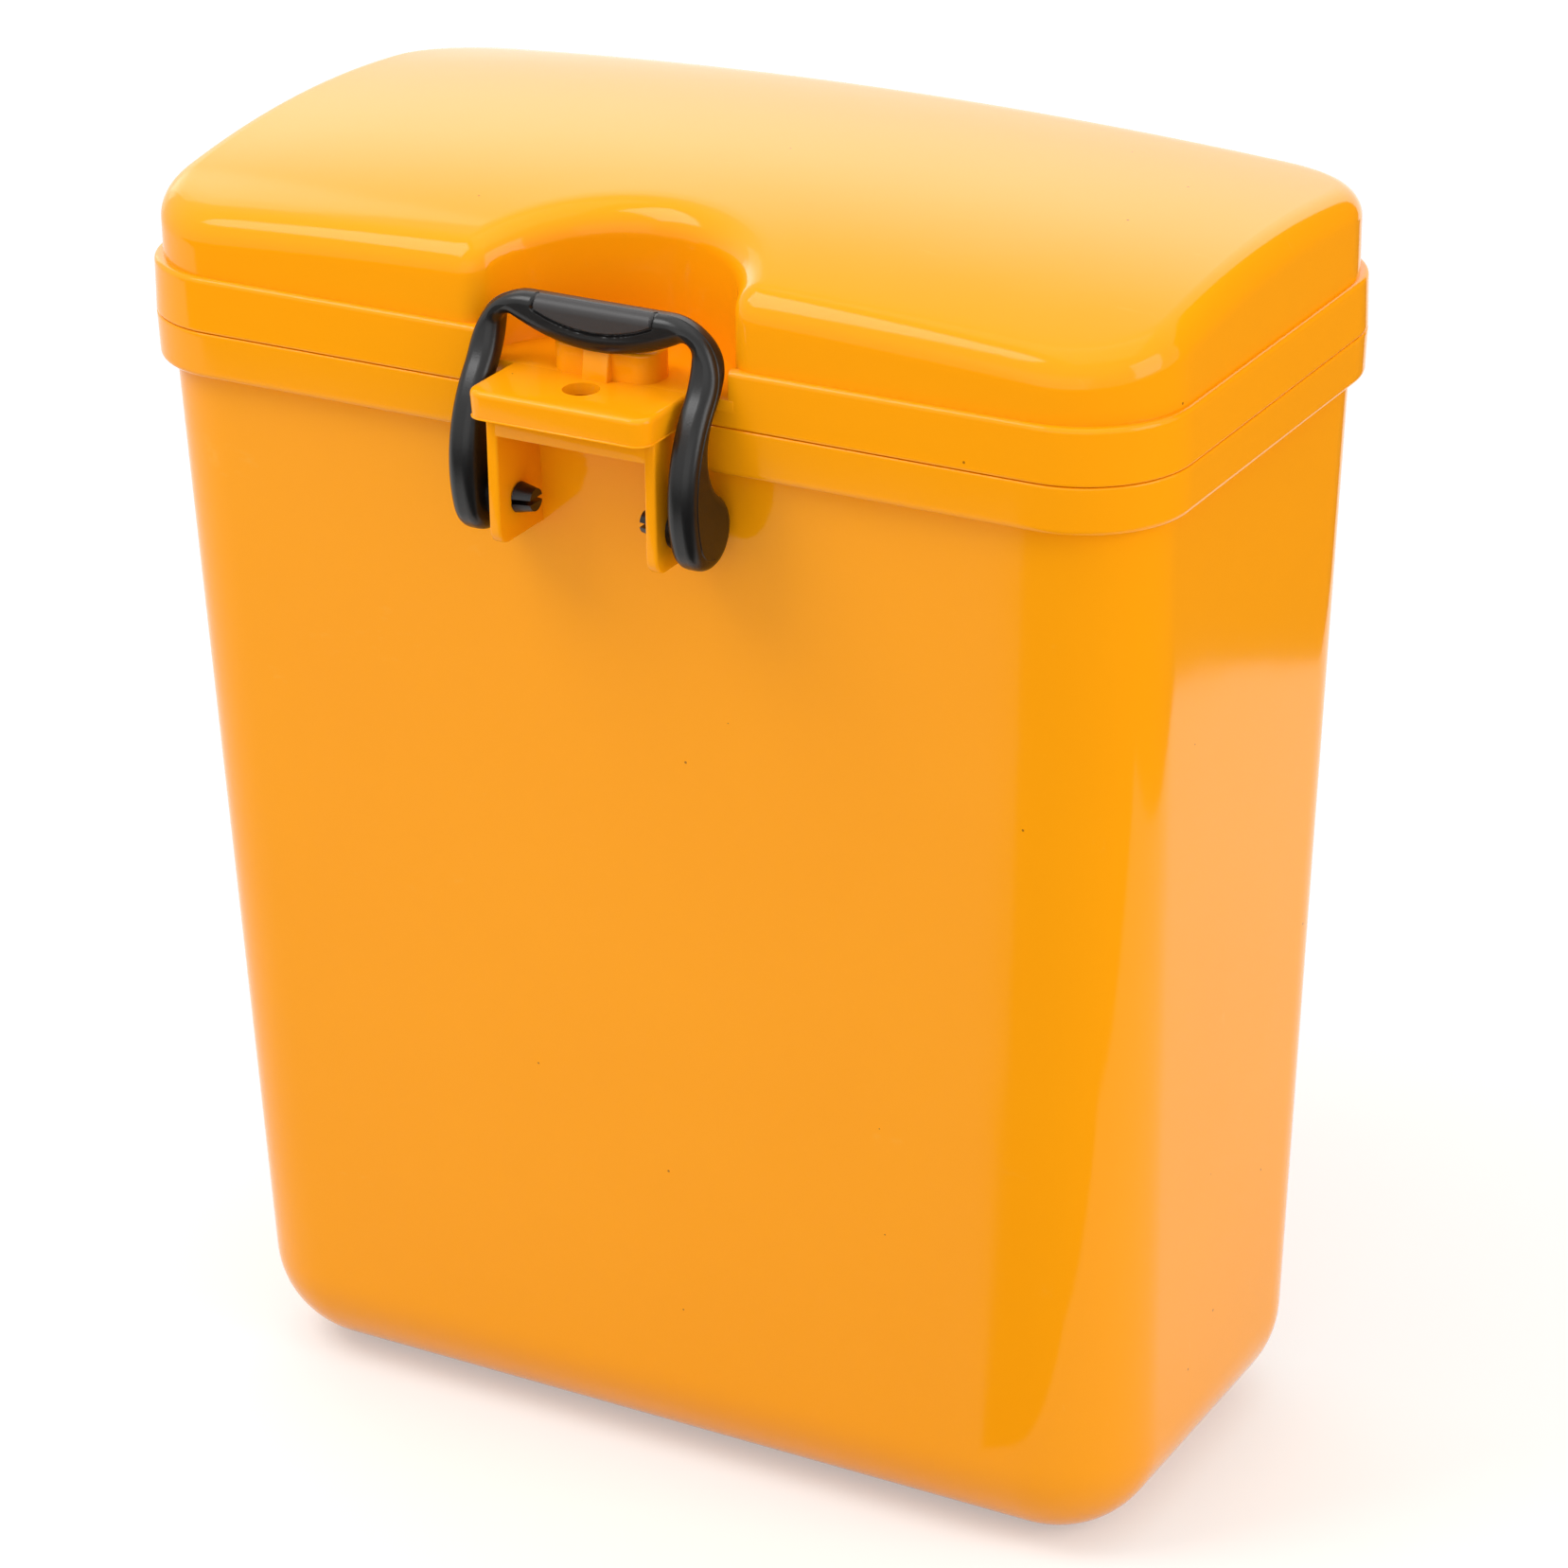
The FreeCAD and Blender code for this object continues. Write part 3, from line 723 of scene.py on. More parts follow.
ORANGE_SHELL = Finish(
    name="orange_moulding",
    colour=(0.94, 0.345, 0.003),
    depth_colour=(0.90, 0.318, 0.002),
    mark_colour=(0.94, 0.42, 0.05),
    speck_colour=(0.36, 0.11, 0.004),
    smooth=0.085,
    scuffed=0.26,
    ior=1.28,
    ripple_scale=26.0,
    bump=0.00012,
    scuff_amount=0.25,
)
BLACK_BAIL = Finish(
    name="black_moulding",
    colour=(0.006, 0.0056, 0.0056),
    depth_colour=(0.004, 0.0038, 0.0038),
    mark_colour=(0.03, 0.028, 0.028),
    speck_colour=(0.07, 0.068, 0.066),
    smooth=0.30,
    scuffed=0.5,
    grain_scale=2200.0,
    grain_depth=0.9,
    ripple_scale=90.0,
    bump=0.00003,
    scuff_amount=0.3,
)
# The grip's pad is rougher than the rest of the bail; its lighter colour is a painted sheen for the light
# that the bar's front catches
GRIP_PAD_PAINTED_SHEEN = replace(
    BLACK_BAIL,
    name="black_grip_painted_sheen",
    colour=(0.036, 0.033, 0.033),
    depth_colour=(0.026, 0.024, 0.024),
    smooth=0.46,
)
PIN_STEEL = Finish(
    name="drawn_steel",
    colour=(0.60, 0.60, 0.61),
    depth_colour=(0.46, 0.46, 0.47),
    mark_colour=(0.30, 0.27, 0.24),
    speck_colour=(0.12, 0.09, 0.07),
    smooth=0.28,
    scuffed=0.5,
    metal=1.0,
    grain_scale=2500.0,
    ripple_scale=200.0,
    bump=0.00002,
    scuff_amount=0.6,
)


@dataclass(frozen=True)
class Hinge:
    """The two hinges on the back: the sizes of their lugs and how these repeat."""

    hinges: int = 2
    ears: int = 2
    knuckles: int = 1
    spacing: float = 0.150
    behind: float = 0.0053
    radius: float = 0.0047
    knuckle_width: float = 0.014
    ear_width: float = 0.007
    gap: float = 0.0003
    drop: float = 0.011
    bore: float = 0.00205
    edge: float = 0.0005
    root: float = 0.0014
    round_steps: int = 24

    @property
    def pitch(self) -> float:
        """The distance between the two ears of a hinge."""
        return self.knuckle_width + self.gap * 2 + self.ear_width

    def lug(self, width: float, level: Level, back: float, parting: float) -> Mesh:
        """One lug in the middle of the box, bored for the pin.

        Args:
            width: its width along the pin.
            level: above the parting plane for a knuckle, below it for an ear.
            back: where the band's back face is.
            parting: the height of the parting plane.

        Returns:
            A closed mesh.
        """
        axis = back + self.behind
        side = level.value
        outline = [
            (back - self.root, parting),
            *arc((axis, parting), self.radius, 180.0, 180.0 + side * 180.0, self.round_steps),
            (axis + self.radius, parting + side * self.radius / 2),
            (back - self.root, parting + side * self.drop),
        ]
        lug = prism(outline, Plane.YZ, -width / 2, width / 2, self.edge)
        return bored(lug, [rod(Plane.YZ, (axis, parting), self.bore, -width, width)])

    def repeated(self, lug: Mesh, count: int, material: Material) -> Mesh:
        """Repeats a lug along both hinges with a node tree.

        Args:
            lug: one lug in the middle of the box.
            count: how many lugs each hinge has.
            material: the finish they wear.

        Returns:
            All the lugs as one plain mesh.
        """
        piece = linked("lugs", lug)
        repeat = piece.modifiers.new("repeat", "NODES")
        repeat.node_group = self._tree()
        values = {
            "Lugs": count,
            "Lug Pitch": self.pitch,
            "Hinges": self.hinges,
            "Hinge Pitch": self.spacing,
            "Finish": material,
        }
        for socket in repeat.node_group.interface.items_tree:
            if socket.name in values:
                repeat[socket.identifier] = values[socket.name]
        mesh = settled(piece)
        bpy.data.objects.remove(piece)
        return mesh

    @staticmethod
    def _tree() -> NodeTree:
        """A tree that sets a shape out in rows of rows, centred on the box.

        Returns:
            The tree, which is built once.
        """
        name = "rows_of_lugs"
        if name in bpy.data.node_groups:
            return bpy.data.node_groups[name]
        tree = bpy.data.node_groups.new(name, "GeometryNodeTree")
        nodes = Nodes(tree)
        for label, kind in (
            ("Geometry", "NodeSocketGeometry"),
            ("Lugs", "NodeSocketInt"),
            ("Lug Pitch", "NodeSocketFloat"),
            ("Hinges", "NodeSocketInt"),
            ("Hinge Pitch", "NodeSocketFloat"),
            ("Finish", "NodeSocketMaterial"),
        ):
            tree.interface.new_socket(label, in_out="INPUT", socket_type=kind)
        tree.interface.new_socket("Geometry", in_out="OUTPUT", socket_type="NodeSocketGeometry")
        entry = nodes.add("NodeGroupInput")
        leave = nodes.add("NodeGroupOutput")
        shape: tuple[Node, str] = (entry, "Geometry")
        for count, pitch in (("Lugs", "Lug Pitch"), ("Hinges", "Hinge Pitch")):
            line = nodes.add("GeometryNodeMeshLine")
            step = nodes.add("ShaderNodeCombineXYZ")
            gaps = nodes.work("SUBTRACT", 1.0)
            span = nodes.work("MULTIPLY")
            half = nodes.work("MULTIPLY", -0.5)
            start = nodes.add("ShaderNodeCombineXYZ")
            copies = nodes.add("GeometryNodeInstanceOnPoints")
            nodes.wire(
                (entry, count, line, "Count"),
                (entry, pitch, step, "X"),
                (step, "Vector", line, "Offset"),
                (entry, count, gaps, 0),
                (gaps, "Value", span, 0),
                (entry, pitch, span, 1),
                (span, "Value", half, 0),
                (half, "Value", start, "X"),
                (start, "Vector", line, "Start Location"),
                (line, "Mesh", copies, "Points"),
                (*shape, copies, "Instance"),
            )
            shape = (copies, "Instances")
        real = nodes.add("GeometryNodeRealizeInstances")
        dress = nodes.add("GeometryNodeSetMaterial")
        nodes.wire(
            (*shape, real, "Geometry"),
            (real, "Geometry", dress, "Geometry"),
            (entry, "Finish", dress, "Material"),
            (dress, "Geometry", leave, "Geometry"),
        )
        return tree


@dataclass(frozen=True)
class Latch:
    """The sizes that the bracket, the tongue and the bail share."""

    tongue_half: float = 0.0245
    tongue_reach: float = 0.0215
    tongue_height: float = 0.007
    tongue_plate: float = 0.003
    tongue_skirt: float = 0.0024
    tongue_corner: float = 0.0045
    tongue_edge: float = 0.0012
    tongue_draft: float = 0.0003
    padlock_radius: float = 0.0045
    padlock_ahead: float = 0.0086
    pivot_ahead: float = 0.0060
    pivot_drop: float = 0.0242
    pin_bore: float = 0.00328
    cheek_half: float = 0.0230
    cheek_wall: float = 0.0031
    bail_inner: float = 0.0261
    bail_outer: float = 0.0336
    bail_gap: float = 0.0004
    scoop_ahead: float = 0.0040
    scoop_gap: float = 0.0011
    boss_height: float = 0.0074

    @property
    def scoop_radius(self) -> float:
        """The radius of the scoop that the bail swings in."""
        return self.bail_outer + self.scoop_gap


@dataclass
class Moulding:
    """What every moulding is set out from: the front face, the parting plane and the latch."""

    latch: Latch = Latch()
    half_depth: float = 0.0755
    parting: float = 0.2965

    @property
    def pivot(self) -> Point:
        """Where the bail's axis is, in Y and Z."""
        return -self.half_depth - self.latch.pivot_ahead, self.parting - self.latch.pivot_drop

    @property
    def padlock(self) -> Point:
        """Where the padlock's hole is, in X and Y."""
        return 0.0, -self.half_depth - self.latch.padlock_ahead

    @property
    def tongue_top(self) -> float:
        """The height of the tongue's top and the scoop's floor."""
        return self.parting + self.latch.tongue_height


@dataclass
class Shell(Moulding):
    """What tub and lid share: a band at the parting plane and the hinges behind it."""

    hinge: Hinge = Hinge()
    half_width: float = 0.140
    band: float = 0.012
    band_corner: float = 0.027
    band_draft: float = 0.0004

    def leaned(self, height: float) -> float:
        """How far the band leans in at a height, as it left the mould."""
        return self.band_draft * abs(height - self.parting) / self.band

    def band_ring(self, height: float, inset: float = 0.0) -> list[Vector]:
        """A ring of the band's outer face, drawn in by an inset."""
        inset += self.leaned(height)
        return rounded_ring(self.half_width, self.half_depth, self.band_corner, height, inset)

    def lugs(self, width: float, level: Level, count: int, material: Material) -> Mesh:
        """The shell's lugs on both hinges.

        Args:
            width: the width of one lug.
            level: the side of the parting plane that they stand on.
            count: how many lugs each hinge has.
            material: the finish they wear.

        Returns:
            All the lugs as one mesh.
        """
        lug = self.hinge.lug(width, level, self.half_depth, self.parting)
        return self.hinge.repeated(lug, count, material)


@dataclass
class Tub(Shell):
    """The tapered body with its band, lip, latch bracket and hinge ears."""

    wall: float = 0.0028
    wall_heights: tuple[float, ...] = (0.08, 0.15, 0.22)
    support: float = 0.002
    band_step: float = 0.0038
    band_edge: float = 0.0015
    side_taper: float = 0.0067
    face_taper: float = 0.010
    base_round: float = 0.0265
    base_corner: float = 0.0275
    base_steps: int = 14
    lip_height: float = 0.003
    lip_inset: float = 0.0049
    lip_corner: float = 0.0239
    lip_steps: int = 2
    rim_edge: float = 0.0005
    bolt_height: float = 0.205
    bolt_spacing: float = 0.075
    bolt_radius: float = 0.00425
    gap: float = 0.0003
    cheek_margin: float = 0.0086
    cheek_below: float = 0.010
    cheek_corner: float = 0.004
    cheek_steps: int = 8
    web_plate: float = 0.003
    web_lip: float = 0.0059
    web_lip_wall: float = 0.0014
    bracket_edge: float = 0.0006

    def wall_ring(self, height: float, inset: float = 0.0) -> list[Vector]:
        """A ring of the tapered wall.

        Args:
            height: the height of the ring.
            inset: how far inside the wall's outer face it lies.

        Returns:
            The ring's points.
        """
        share = 1.0 - height / self.parting
        half_x = self.half_width - self.band_step - self.side_taper * share
        half_y = self.half_depth - self.band_step - self.face_taper * share
        top_corner = self.band_corner - self.band_step
        corner = top_corner + (self.base_corner - top_corner) * share
        return rounded_ring(half_x, half_y, corner, height, inset)

    def lip_ring(self, height: float, inset: float = 0.0) -> list[Vector]:
        """A ring of the lip's outer face, drawn in by an inset."""
        sides = (self.half_width - self.lip_inset, self.half_depth - self.lip_inset)
        return rounded_ring(*sides, self.lip_corner, height, inset)

    def shell(self) -> Mesh:
        """The whole skin of the tub, from the base up the outside and down the inside.

        Returns:
            A closed mesh, bored for the two bolts that hang it up.
        """
        rim = self.parting
        low = rim - self.band
        lip_top = rim + self.lip_height
        inner_round = self.base_round - self.wall
        base = quarter_round(self.base_round, self.base_steps)
        rows = [self.wall_ring(below, inset) for inset, below in reversed(base)]
        outside = (self.base_round + self.support, *self.wall_heights, low - self.support, low)
        rows += [self.wall_ring(height) for height in outside]
        rows.append(self.band_ring(low, self.band_edge + self.band_edge / 2))
        for inset, below in reversed(quarter_round(self.band_edge)):
            rows.append(self.band_ring(low + below, inset))
        rows.append(self.band_ring(low + self.band_edge + self.rim_edge))
        rows.append(self.band_ring(rim - self.rim_edge * 2))
        for inset, below in quarter_round(self.rim_edge, FINE_STEPS):
            rows.append(self.band_ring(rim - below, inset))
        rows.append(self.lip_ring(rim))
        for inset, below in quarter_round(self.rim_edge, self.lip_steps):
            rows.append(self.lip_ring(lip_top - below, inset))
        inside = (lip_top, *reversed(self.wall_heights), self.wall + inner_round + self.support)
        rows += [self.wall_ring(height, self.wall) for height in inside]
        for inset, below in quarter_round(inner_round, self.base_steps):
            rows.append(self.wall_ring(self.wall + below, self.wall + inset))
        holes = []
        for side in (-1, 1):
            centre = (side * self.bolt_spacing / 2, self.bolt_height)
            holes.append(rod(Plane.XZ, centre, self.bolt_radius, 0.0, self.half_depth))
        return bored(stacked(rows, "tub"), holes)

    def bracket(self) -> Mesh:
        """The web and the two cheeks that carry the bail.

        Returns:
            One mesh, bored for pin and padlock.
        """
        latch = self.latch
        pivot_y, pivot_z = self.pivot
        front = pivot_y - self.cheek_margin
        low = pivot_z - self.cheek_below
        top = self.parting - self.gap
        root = -self.half_depth + self.band_step + self.wall / 2
        lean = self.face_taper * (self.parting - low) / self.parting
        corner = self.cheek_corner
        cheek = [
            (front, top),
            *arc((front + corner, low + corner), corner, 180.0, 270.0, self.cheek_steps),
            (root + lean, low),
            (root, top),
        ]
        reach = latch.cheek_half * 2
        parts = []
        for side in (-1, 1):
            faces = sorted((side * (latch.cheek_half - latch.cheek_wall), side * latch.cheek_half))
            plate = prism(cheek, Plane.YZ, *faces, self.bracket_edge)
            parts.append(bored(plate, [rod(Plane.YZ, self.pivot, latch.pin_bore, -reach, reach)]))
        half = latch.cheek_half - BURIED
        web = rectangle(-half, half, front + BURIED, root)
        plate = prism(web, Plane.XY, top - self.web_plate, top - SKIN_GAP, self.bracket_edge)
        hole = rod(Plane.XY, self.padlock, latch.padlock_radius, self.parting - self.band, self.parting)
        parts.append(bored(plate, [hole]))
        lip = rectangle(-half, half, front + SKIN_GAP, front + self.web_lip_wall)
        parts.append(prism(lip, Plane.XY, top - self.web_lip, top - SKIN_GAP * 2, self.bracket_edge / 2))
        return joined(parts, "latch_bracket")

    def build(self, material: Material) -> list[Object]:
        """Makes and dresses the body's pieces.

        Args:
            material: the finish of the moulding.

        Returns:
            The pieces, which all ride on the base.
        """
        meshes = {
            "tub": self.shell(),
            "latch_bracket": self.bracket(),
            "hinge_ears": self.lugs(self.hinge.ear_width, Level.BELOW, self.hinge.ears, material),
        }
        return [place_piece(name, mesh, "base", "body_shell", material) for name, mesh in meshes.items()]


@dataclass
class Lid(Shell):
    """The crowned lid with its band, scoop, tongue, boss and hinge knuckles."""

    band: float = 0.014
    band_draft: float = 0.0003
    band_edge: float = 0.0012
    band_steps: int = 20
    step: float = 0.0018
    corner: float = 0.027
    wall: float = 0.0026
    crown_rise: float = 0.0297
    crown_back: float = 0.011
    crown_across: float = 1.575
    crown_along: float = 0.338
    edge: float = 0.0068
    edge_steps: int = 8
    support: float = 0.001
    front_shares: tuple[float, ...] = (0.03, 0.2, 0.4, 0.6, 0.8, 0.97)
    side_shares: tuple[float, ...] = (0.0, 0.03, *(step / 16 for step in range(1, 16)), 0.97, 1.0)
    scoop_end: float = 0.0072
    scoop_end_steps: int = 8
    scoop_steps: int = 40
    floor_edge: float = 0.0002
    seam_edge: float = 0.0004
    seam_gap: float = 0.00022
    flash: tuple[Point, ...] = ((0.0, 0.0), (0.0003, 0.0001), (0.0003, 0.0003), (0.0, 0.0005))
    tongue_steps: int = 8
    boss_half: float = 0.014
    boss_depth: float = 0.012
    boss_ahead: float = 0.0003
    boss_corner: float = 0.005
    boss_edge: float = 0.0009
    boss_steps: int = 8
    rib_half: float = 0.0035
    rib_foot: float = 0.0026
    rib_top: float = 0.0012

    @property
    def scoop_y(self) -> float:
        """Where the centre of the scoop's round lies, ahead of the front."""
        return -self.half_depth - self.latch.scoop_ahead

    def crown(self, x: float, y: float, inset: float) -> float:
        """The height of the crown.

        Args:
            x: across the box.
            y: along its depth.
            inset: how far below the outer skin.

        Returns:
            The height in the frame.
        """
        top = self.parting + self.band + self.crown_rise - inset
        along = math.sqrt(self.crown_along**2 - (y - self.crown_back) ** 2)
        reach = self.crown_across - self.crown_along + along
        return top - self.crown_across + math.sqrt(reach**2 - x**2)

    def on_crown(self, line: Iterable[Vector], inset: float, below: float = 0.0) -> list[Vector]:
        """Lifts a flat line of points up to the crown, or to some way below it."""
        return [Vector((p.x, p.y, self.crown(p.x, p.y, inset) - below)) for p in line]

    def outline(self) -> tuple[list[Edge], list[Edge]]:
        """The dome's outline, divided into a front and a back line.

        Returns:
            The two lines, both from left to right with the same count.
        """
        half_x = self.half_width - self.step
        half_y = self.half_depth - self.step
        run_x = half_x - self.corner
        run_y = half_y - self.corner
        radius = self.latch.scoop_radius
        end_y = -half_y + self.scoop_end
        rise = end_y - self.scoop_y
        end_x = math.sqrt((radius + self.scoop_end) ** 2 - rise**2)
        turn = math.degrees(math.atan2(rise, end_x))

        def run(start: float, end: float) -> list[Edge]:
            """A straight piece of the front wall."""
            places = (start + (end - start) * share for share in self.front_shares)
            return [(Vector((x, -half_y)), Vector((0.0, -1.0))) for x in places]

        front = [
            *bend((-run_x, -run_y), self.corner, 180.0, 270.0, CORNER_STEPS),
            *run(-run_x, -end_x),
            *bend((-end_x, end_y), self.scoop_end, -90.0, -turn, self.scoop_end_steps)[:-1],
            *bend((0.0, self.scoop_y), radius, 180.0 - turn, turn, self.scoop_steps, Bulge.IN)[:-1],
            *bend((end_x, end_y), self.scoop_end, 180.0 + turn, 270.0, self.scoop_end_steps),
            *run(end_x, run_x),
            *bend((run_x, -run_y), self.corner, 270.0, 360.0, CORNER_STEPS),
        ]
        back = []
        for point, normal in front:
            straight = abs(point.x) <= run_x
            y = half_y if straight else -point.y
            out = Vector((0.0, 1.0)) if straight else Vector((normal.x, -normal.y))
            back.append((Vector((point.x, y)), out))
        return front, back

    def dome(self) -> Mesh:
        """The raised part of the lid: a thick crowned shell with a scoop in its front.

        Returns:
            A closed mesh.
        """
        surface = Surface()
        outer = self._skin(surface, 0.0)
        inner = self._skin(surface, self.wall)
        surface.bridge(inner, outer)
        return surface.mesh("lid_dome")

    def _skin(self, surface: Surface, inset: float) -> list[int]:
        """Adds one skin of the dome.

        Args:
            surface: what the skin is added to.
            inset: how far inside the outer skin it lies; an inner skin faces inwards.

        Returns:
            The numbers of the lowest ring's points.
        """
        front, back = self.outline()
        shares = self.side_shares

        def lines(into: float) -> tuple[list[Vector], list[Vector]]:
            """The front and the back line, drawn in."""
            fore, rear = ([point - normal * into for point, normal in line] for line in (front, back))
            return fore, rear

        def loop(into: float) -> list[Vector]:
            """The closed outline.

            Args:
                into: how far it is drawn in.

            Returns:
                Its points, anticlockwise seen from above.
            """
            fore, rear = lines(into)
            right = [fore[-1].lerp(rear[-1], share) for share in shares[1:-1]]
            left = [fore[0].lerp(rear[0], share) for share in reversed(shares[1:-1])]
            return [*fore, *right, *reversed(rear), *left]

        first_face = len(surface.faces)
        low = self.tongue_top - BURIED
        edge = self.edge - inset
        wall = loop(inset)
        rows = [[Vector((p.x, p.y, low)) for p in wall], self.on_crown(wall, inset, edge + self.support)]
        for into, below in quarter_round(edge, self.edge_steps):
            rows.append(self.on_crown(loop(inset + into), inset, below))
        numbers = surface.stack(rows)
        fore, rear = lines(inset + edge)
        across = [[a.lerp(b, share) for a, b in zip(fore, rear)] for share in shares]
        surface.stack([self.on_crown(line, inset) for line in across], closed=False)
        if inset > 0.0:
            for face in surface.faces[first_face:]:
                face.reverse()
        return numbers[0]

    def lower_band(self) -> Mesh:
        """The band's lower half, a plain ring that closes on the tub.

        Returns:
            A closed mesh.
        """
        deep = self.step + self.wall + SKIN_GAP
        seam = self.parting + self.seam_gap
        top = self.tongue_top - SKIN_GAP

        def inner(height: float) -> list[Vector]:
            """A ring of the lid's inner face."""
            corner = self.corner - self.wall - SKIN_GAP
            return rounded_ring(self.half_width - deep, self.half_depth - deep, corner, height)

        rows = [inner(self.parting)]
        for inset, below in reversed(quarter_round(self.seam_edge, FINE_STEPS)):
            rows.append(self.band_ring(seam + below, inset))
        rows += [self.band_ring(seam + self.seam_edge * 2), self.band_ring(top), inner(top)]
        surface = Surface()
        numbers = surface.stack(rows)
        surface.bridge(numbers[-1], numbers[0])
        return surface.mesh("lower_band")

    def upper_band(self) -> Mesh:
        """The band's upper half, which stops at both ends of the scoop.

        Returns:
            A closed mesh.
        """
        sizes = (self.half_width, self.half_depth, self.band_corner)
        ring = rounded_ring(*sizes, 0.0, steps=self.band_steps)
        radius = self.latch.scoop_radius
        end_x = math.sqrt(radius**2 - self.latch.scoop_ahead**2)
        right = [Vector((x, -self.half_depth, 0.0)) for x in (end_x, end_x + self.support)]
        left = [Vector((-point.x, point.y, 0.0)) for point in reversed(right)]
        # The middle point of the run along the front falls into the scoop
        beyond = len(RUN_SHARES) // 2
        path = [*right, *ring[-beyond:], *ring[: -beyond - 1], *left]
        bottom = self.tongue_top - SKIN_GAP
        top = self.parting + self.band
        deep = self.step + self.wall / 2
        face = [(0.0, bottom), (0.0, top - self.band_edge - self.seam_edge)]
        face += [(inset, top - below) for inset, below in quarter_round(self.band_edge)]
        section = [(inset + self.leaned(height), height) for inset, height in face]
        section += [(deep, top), (deep, bottom)]
        run_x = self.half_width - self.band_corner
        run_y = self.half_depth - self.band_corner
        rows = []
        for index, point in enumerate(path):
            nearest = Vector((max(-run_x, min(run_x, point.x)), max(-run_y, min(run_y, point.y)), 0.0))
            out = (point - nearest).normalized()
            row = []
            for inset, height in section:
                place = point - out * inset
                if index in (0, len(path) - 1):
                    place.x = math.copysign(math.sqrt(radius**2 - (place.y - self.scoop_y) ** 2), place.x)
                row.append(Vector((place.x, place.y, height)))
            rows.append(row)
        return stacked(reversed(rows), "upper_band")

    def scoop_floor(self) -> Mesh:
        """The flat floor of the scoop.

        Returns:
            A closed mesh that ends inside the scoop's wall.
        """
        radius = self.latch.scoop_radius + self.wall / 2
        front = -self.half_depth + SKIN_GAP
        start = math.degrees(math.asin((front - self.scoop_y) / radius))
        outline = arc((0.0, self.scoop_y), radius, start, 180.0 - start, self.scoop_steps)
        top = self.tongue_top
        return prism(outline, Plane.XY, top - self.latch.tongue_plate, top, self.floor_edge)

    def tongue(self) -> Mesh:
        """The tray-shaped tongue, open below, with a thread of flash along its lower edge.

        Returns:
            A closed mesh, bored for a padlock.
        """
        latch = self.latch
        half = latch.tongue_half
        corner = latch.tongue_corner
        front = -self.half_depth - latch.tongue_reach
        back = -self.half_depth + SKIN_GAP
        top = self.tongue_top
        outline = [
            *bend((corner - half, front + corner), corner, 180.0, 270.0, self.tongue_steps),
            *bend((half - corner, front + corner), corner, 270.0, 360.0, self.tongue_steps),
            *((Vector((side * half, back)), Vector((side, 0.0))) for side in (1, -1)),
        ]

        def ring(inset: float, height: float, forwards: float = 0.0) -> list[Vector]:
            """A ring of the tongue.

            Args:
                inset: how far the outline is drawn in.
                height: the height it lies at.
                forwards: how far the two points of its back edge are moved forwards.

            Returns:
                Its points.
            """
            points = [point - normal * inset for point, normal in outline]
            for point in points[-2:]:
                point.y -= forwards
            return [Vector((point.x, point.y, height)) for point in points]

        skirt = latch.tongue_skirt
        rows = [ring(skirt, height, skirt) for height in (top - latch.tongue_plate, self.parting)]
        rows += [ring(latch.tongue_draft - out, self.parting + lift) for out, lift in self.flash]
        rows.append(ring(0.0, top - latch.tongue_edge - self.seam_edge))
        rows += [ring(inset, top - below) for inset, below in quarter_round(latch.tongue_edge)]
        hole = rod(Plane.XY, self.padlock, latch.padlock_radius, self.parting, top + latch.tongue_plate)
        return bored(stacked(rows, "tongue"), [hole])

    def boss(self) -> Mesh:
        """The boss and the rib that stand under the bail.

        Returns:
            Both in one mesh, with their feet in the floor.
        """
        foot = self.tongue_top - BURIED
        top = self.tongue_top + self.latch.boss_height
        front = -self.half_depth - self.boss_ahead
        half_y = self.boss_depth / 2
        middle = front + half_y
        shift = Vector((0.0, middle, 0.0))
        levels = [(0.0, foot), *((inset, top - below) for inset, below in quarter_round(self.boss_edge))]
        rows = []
        for inset, height in levels:
            ring = rounded_ring(self.boss_half, half_y, self.boss_corner, height, inset, self.boss_steps)
            rows.append([point + shift for point in ring])
        rib = [
            (front - self.rib_foot, foot),
            (middle, foot),
            (middle, top - SKIN_GAP),
            (front - self.rib_top, top - SKIN_GAP),
        ]
        wedge = prism(rib, Plane.YZ, -self.rib_half, self.rib_half, self.seam_edge)
        return joined([stacked(rows, "boss"), wedge], "bail_boss")

    def build(self, material: Material) -> list[Object]:
        """Makes and dresses the lid's pieces.

        Args:
            material: the finish of the moulding.

        Returns:
            The pieces, which all ride on the lid.
        """
        hinge = self.hinge
        meshes = {
            "lid_dome": self.dome(),
            "lid_band": joined([self.lower_band(), self.upper_band()], "lid_band"),
            "lid_tongue": joined([self.scoop_floor(), self.tongue(), self.boss()], "lid_tongue"),
            "hinge_knuckles": self.lugs(hinge.knuckle_width, Level.ABOVE, hinge.knuckles, material),
        }
        return [place_piece(name, mesh, "lid", "lid_shell", material) for name, mesh in meshes.items()]


